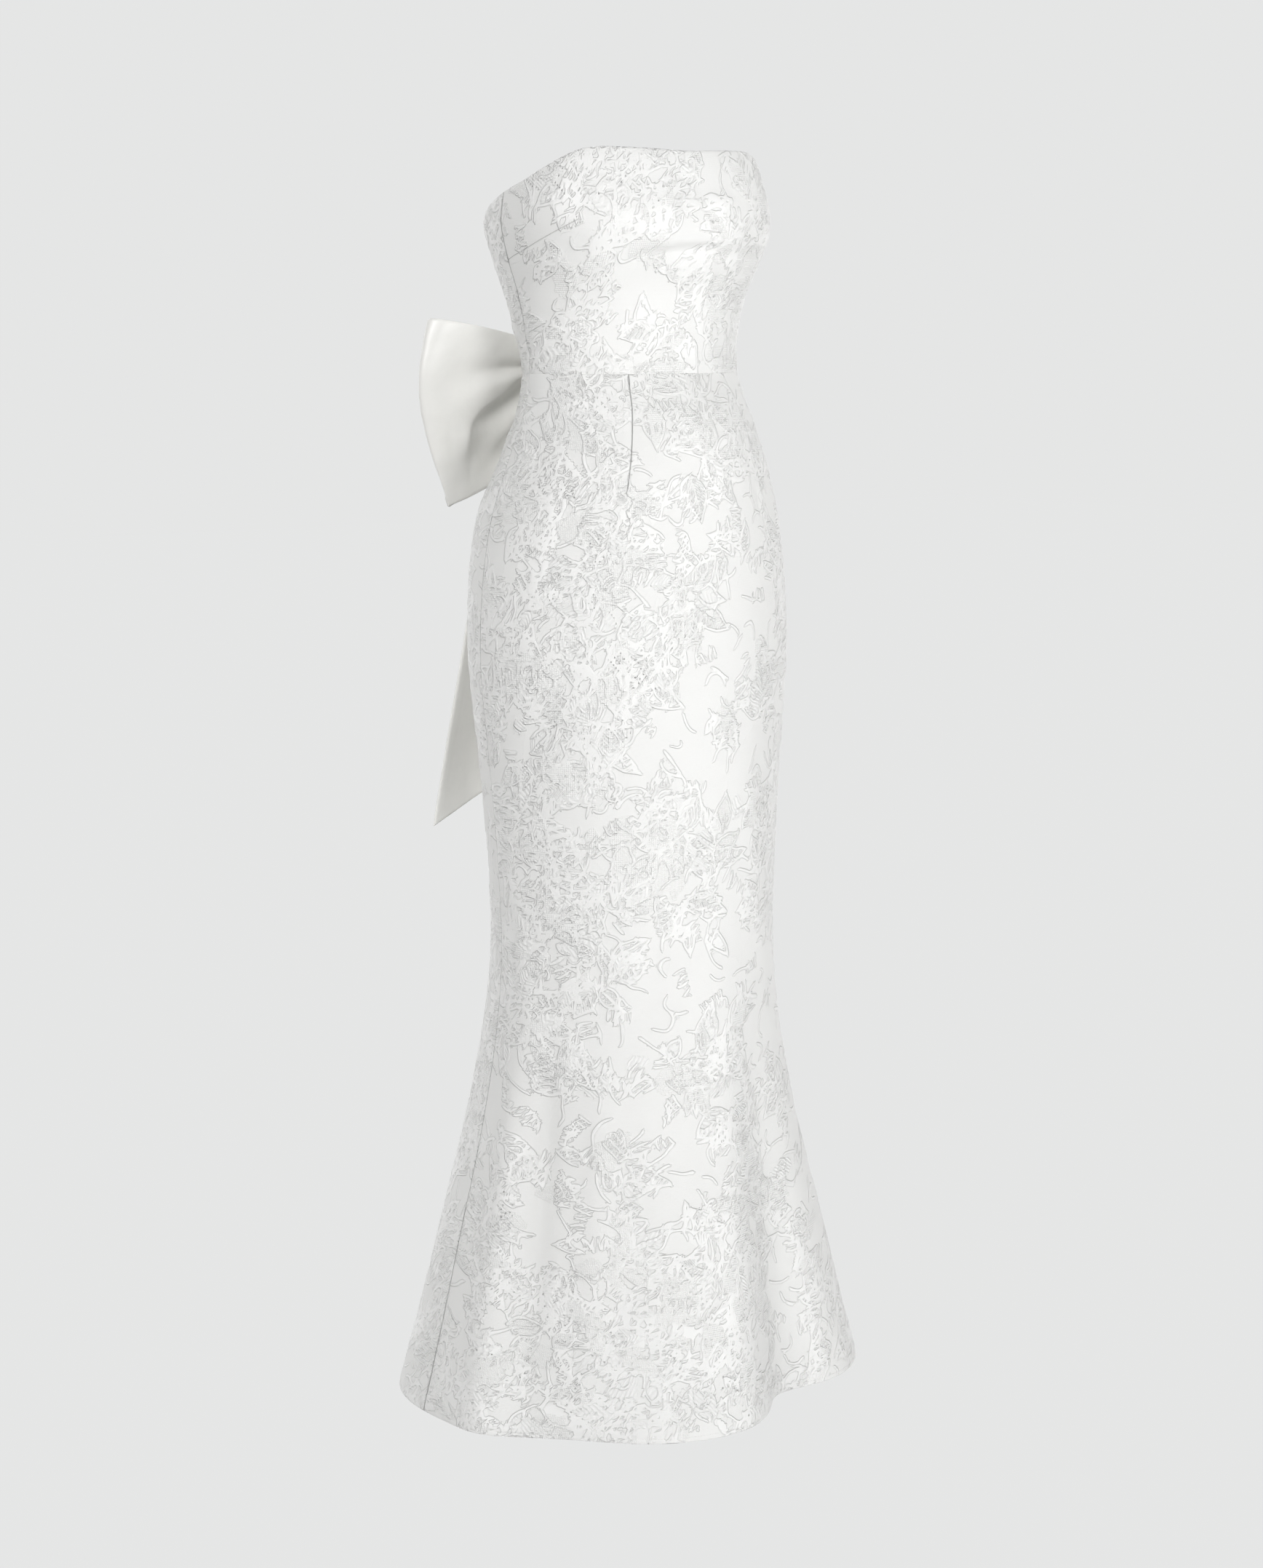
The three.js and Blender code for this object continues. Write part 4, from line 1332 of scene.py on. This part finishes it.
def studio_finish(name, colour):
    """A pale, evenly lit surface that takes only a trace of shadow."""
    finish = Finish(name, base_color=STUDIO_GLEAM, roughness=0.9, emission_strength=1.0)
    finish.shader.inputs["Specular IOR Level"].default_value = 0.0
    fleck = finish.noise(finish.place(), 3.0)
    glow = finish.mix(fleck * 0.004, tuple(colour), tinted(colour, 0.99))
    finish.feed(finish.shader.inputs["Emission Color"], glow)
    return finish.material


# What a user would change


class GownCloth(bpy.types.PropertyGroup):
    """The jacquard: its mesh, its relief, its motifs, its hem and its colours"""

    grid: bpy.props.FloatProperty(
        name="Grid",
        description="Spacing of the cloth's points",
        default=0.0029,
        unit="LENGTH",
    )
    relief: bpy.props.FloatProperty(
        name="Relief",
        description="How far the woven threads stand out",
        default=0.00070,
        unit="LENGTH",
    )
    pucker: bpy.props.FloatProperty(
        name="Pucker",
        description="How far the cloth puckers between threads",
        default=0.00034,
        unit="LENGTH",
    )
    spray: bpy.props.FloatProperty(
        name="Spray spacing",
        description="Distance between the motifs",
        default=0.027,
        unit="LENGTH",
    )
    rib: bpy.props.FloatProperty(
        name="Rib pitch",
        description="Pitch of the honeycomb",
        default=0.0030,
        unit="LENGTH",
    )
    hem_stitch: bpy.props.FloatProperty(
        name="Hem stitch height",
        description="Height of the stitch line above the hem's edge",
        default=0.0045,
        unit="LENGTH",
    )
    stitch: bpy.props.FloatProperty(
        name="Stitch length",
        description="Length of one hem stitch",
        default=0.0032,
        unit="LENGTH",
    )
    ground: bpy.props.FloatVectorProperty(
        name="Ground",
        description="Colour of the matte ground",
        default=(0.85, 0.85, 0.835, 1),
        size=4,
        subtype="COLOR",
    )
    # Lighter than the ground as a painted sheen on the raised silk.
    raised: bpy.props.FloatVectorProperty(
        name="Raised",
        description="Colour of the raised silk",
        default=(0.892, 0.892, 0.879, 1),
        size=4,
        subtype="COLOR",
    )


class GownBow(bpy.types.PropertyGroup):
    """The bow's satin"""

    grid: bpy.props.FloatProperty(
        name="Grid",
        description="Spacing of the satin's points",
        default=0.0022,
        unit="LENGTH",
    )
    fold: bpy.props.FloatProperty(
        name="Folds",
        description="Share of the folds' full depth",
        default=1.0,
        subtype="FACTOR",
    )
    colour: bpy.props.FloatVectorProperty(
        name="Satin",
        description="Colour of the satin",
        default=(0.95, 0.945, 0.912, 1),
        size=4,
        subtype="COLOR",
    )


class GownZip(bpy.types.PropertyGroup):
    """The zip's coil, tape and enamel"""

    pitch: bpy.props.FloatProperty(
        name="Coil pitch",
        description="Distance from turn to turn",
        default=0.00125,
        unit="LENGTH",
    )
    wire: bpy.props.FloatProperty(
        name="Coil wire",
        description="Thickness of the coil's filament",
        default=0.00056,
        unit="LENGTH",
    )
    tape_half: bpy.props.FloatProperty(
        name="Half tape",
        description="Half the width of the tape that shows",
        default=0.0035,
        unit="LENGTH",
    )
    colour: bpy.props.FloatVectorProperty(
        name="Tape",
        description="Colour of the tape",
        default=(0.84, 0.84, 0.825, 1),
        size=4,
        subtype="COLOR",
    )
    enamel: bpy.props.FloatVectorProperty(
        name="Enamel",
        description="Colour of the slider's enamel",
        default=(0.86, 0.86, 0.85, 1),
        size=4,
        subtype="COLOR",
    )


class GownStage(bpy.types.PropertyGroup):
    """The studio and the camera"""

    floor: bpy.props.FloatProperty(
        name="Floor",
        description="Height of the floor",
        default=-1.25,
        unit="LENGTH",
    )
    backdrop: bpy.props.FloatVectorProperty(
        name="Backdrop",
        description="Colour of the studio",
        default=(0.785, 0.790, 0.787, 1),
        size=4,
        subtype="COLOR",
    )
    light: bpy.props.FloatProperty(
        name="Light",
        description="Strength of the soft studio light",
        default=1.0,
    )
    lens: bpy.props.FloatProperty(
        name="Lens",
        description="Focal length for a 36 mm high frame",
        default=72.67,
        unit="CAMERA",
    )
    yaw: bpy.props.FloatProperty(
        name="Camera yaw",
        description="Angle of the camera round from the front",
        default=math.radians(38),
        unit="ROTATION",
    )
    tilt: bpy.props.FloatProperty(
        name="Camera tilt",
        description="Angle of the camera above level",
        default=math.radians(8.5),
        unit="ROTATION",
    )
    distance: bpy.props.FloatProperty(
        name="Camera distance",
        description="From the camera to what it looks at",
        default=3.3333,
        unit="LENGTH",
    )
    aim: bpy.props.FloatProperty(
        name="Aim",
        description="Height that the camera looks at",
        default=-0.43,
        unit="LENGTH",
    )


# The operators


BODICE_SEED, SKIRT_SEED = 31, 71


def gown_panels(part, cloth, finish, seed):
    """Makes the bodice's or the skirt's three panels, and yields each with its node, angles and cut."""
    panels = (
        ("front", -SIDE_SEAM, SIDE_SEAM),
        ("back_left", SIDE_SEAM, 180),
        ("back_right", 180, 360 - SIDE_SEAM),
    )
    for number, (word, low, high) in enumerate(panels):
        node = f"{part}_{word}"
        piece, flat, area = jacquard_panel(node + "_cloth", low, high, cloth, seed + number)
        ready(piece, "gown", finish, [node])
        yield node, (low, high), piece, flat, area


class GOWN_OT_bodice(bpy.types.Operator):
    """Makes the three panels of the bodice"""

    bl_idname = "gown.bodice"
    bl_label = "Bodice"

    def execute(self, context):
        cloth = context.scene.gown_cloth
        panels = gown_panels("bodice", cloth, jacquard_finish(cloth), BODICE_SEED)
        for _, _, piece, flat, area in panels:
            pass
        return {"FINISHED"}


class GOWN_OT_skirt(bpy.types.Operator):
    """Makes the three panels of the skirt and the stitches of their hems"""

    bl_idname = "gown.skirt"
    bl_label = "Skirt"

    def execute(self, context):
        cloth = context.scene.gown_cloth
        finish, thread = jacquard_finish(cloth), thread_finish(cloth)
        for node, angles, piece, flat, area in gown_panels("skirt", cloth, finish, SKIRT_SEED):
            stitches = hem_stitches(node + "_hem_stitches", *angles, cloth)
            ready(stitches, "gown", thread)
        return {"FINISHED"}


class GOWN_OT_bow(bpy.types.Operator):
    """Makes the bow's loops, tails and knot"""

    bl_idname = "gown.bow"
    bl_label = "Bow"

    def execute(self, context):
        bow = context.scene.gown_bow
        finish = satin_finish(bow)
        for word, side in (("left", 1), ("right", -1)):
            for part, make, held in (("loop", satin_loop, "folded"), ("tail", satin_tail, "hung")):
                node = f"bow_{part}_{word}"
                piece, flat, area = make(node + "_satin", side, bow)
                ready(piece, "gown", finish, [node])
        knot = ready(satin_knot("bow_knot_satin", bow), "gown", finish, ["bow_knot"])
        return {"FINISHED"}


class GOWN_OT_zip(bpy.types.Operator):
    """Makes the zip's tape and coils, and finishes its slider and pull"""

    bl_idname = "gown.zip"
    bl_label = "Zip"

    def execute(self, context):
        zipper = context.scene.gown_zip
        ready(zip_tape("zip_tape", zipper), "gown", tape_finish(zipper), ["zip_chain"])
        ready(zip_coil("zip_coil", zipper), "gown", coil_finish(zipper))
        enamel = enamel_finish(zipper)
        for node in ("zip_slider", "zip_pull"):
            for slot in bpy.data.objects[node].material_slots:
                slot.material = enamel
        return {"FINISHED"}


class Sun(NamedTuple):
    """A soft sun: its angle from the front and its height in degrees, its spread and strength."""

    name: str
    angle: float
    height: float
    spread: float
    strength: float


FLOOR_HALF = 14
STUDIO_SUNS = (
    Sun("side light", -68, 9, 16, 0.92),
    Sun("high side light", -59, 28, 16, 1.16),
    Sun("key light", -6, 4, 22, 0.97),
    Sun("right light", 36, 6, 26, 1.24),
    Sun("low right fill", 50, -35, 60, 1.35),
    Sun("floor fill", 0, -88, 100, 1.05),
    Sun("back fill", -150, 10, 110, 0.45),
    Sun("back right fill", 150, 10, 110, 2.50),
)


def soft_sun(sun, share):
    """Adds one soft light from far off."""
    light = bpy.data.lights.new(sun.name, "SUN")
    light.angle, light.energy = math.radians(sun.spread), sun.strength * share
    turn, rise = math.radians(sun.angle), math.radians(sun.height)
    level = math.cos(rise)
    toward = Vector((math.sin(turn) * level, -math.cos(turn) * level, math.sin(rise)))
    linked(sun.name, light).rotation_euler = toward.to_track_quat("Z", "Y").to_euler()


class GOWN_OT_stage(bpy.types.Operator):
    """Makes the pale floor, the even studio light and the camera"""

    bl_idname = "gown.stage"
    bl_label = "Stage"

    def execute(self, context):
        stage = context.scene.gown_stage
        bm = bmesh.new()
        level = Matrix.Translation((0, 0, stage.floor))
        bmesh.ops.create_grid(bm, x_segments=8, y_segments=8, size=FLOOR_HALF, matrix=level)
        floor = piece_from(bm, "floor")
        floor.data.materials.append(studio_finish("studio floor", stage.backdrop))
        floor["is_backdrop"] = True
        world = bpy.data.worlds.new("studio")
        context.scene.world = world
        world.use_nodes = True
        background = world.node_tree.nodes["Background"]
        background.inputs["Color"].default_value = tuple(stage.backdrop)
        world.cycles_visibility.diffuse = world.cycles_visibility.glossy = False
        floor.visible_diffuse = floor.visible_glossy = False
        context.scene.view_settings.view_transform = "Standard"
        for sun in STUDIO_SUNS:
            soft_sun(sun, stage.light)
        camera = bpy.data.cameras.new("camera")
        camera.sensor_fit, camera.sensor_height, camera.lens = "VERTICAL", 36, stage.lens
        eye = linked("camera", camera)
        out, up = (stage.distance * part(stage.tilt) for part in (math.cos, math.sin))
        toward = Vector((out * math.sin(stage.yaw), out * math.cos(stage.yaw), -up))
        eye.location = Vector((0, 0, stage.aim)) - toward
        eye.rotation_euler = toward.to_track_quat("-Z", "Y").to_euler()
        context.scene.camera = eye
        return {"FINISHED"}


OPERATORS = (GOWN_OT_stage, GOWN_OT_bodice, GOWN_OT_skirt, GOWN_OT_bow, GOWN_OT_zip)
GROUPS = {"gown_cloth": GownCloth, "gown_bow": GownBow, "gown_zip": GownZip, "gown_stage": GownStage}


class GOWN_PT_sidebar(bpy.types.Panel):
    """Lists the gown's pieces and their settings"""

    bl_label = "Mermaid gown"
    bl_idname = "GOWN_PT_sidebar"
    bl_space_type = "VIEW_3D"
    bl_region_type = "UI"
    bl_category = "Gown"

    def draw(self, context):
        for operator in OPERATORS:
            self.layout.operator(operator.bl_idname)
        for name, group in GROUPS.items():
            box = self.layout.box()
            for field in group.__annotations__:
                box.prop(getattr(context.scene, name), field)


def register():
    for kind in (*GROUPS.values(), *OPERATORS, GOWN_PT_sidebar):
        bpy.utils.register_class(kind)
    for name, group in GROUPS.items():
        setattr(bpy.types.Scene, name, bpy.props.PointerProperty(type=group))


def unregister():
    for name in GROUPS:
        delattr(bpy.types.Scene, name)
    for kind in reversed((*GROUPS.values(), *OPERATORS, GOWN_PT_sidebar)):
        bpy.utils.unregister_class(kind)


def main():
    register()
    bpy.ops.gown.stage()
    bpy.ops.gown.bodice()
    bpy.ops.gown.skirt()
    bpy.ops.gown.bow()
    bpy.ops.gown.zip()
    boxes = [[list(corner) for corner in box] for box in (FRAME_BOX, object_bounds())]


if __name__ == "__main__":
    main()
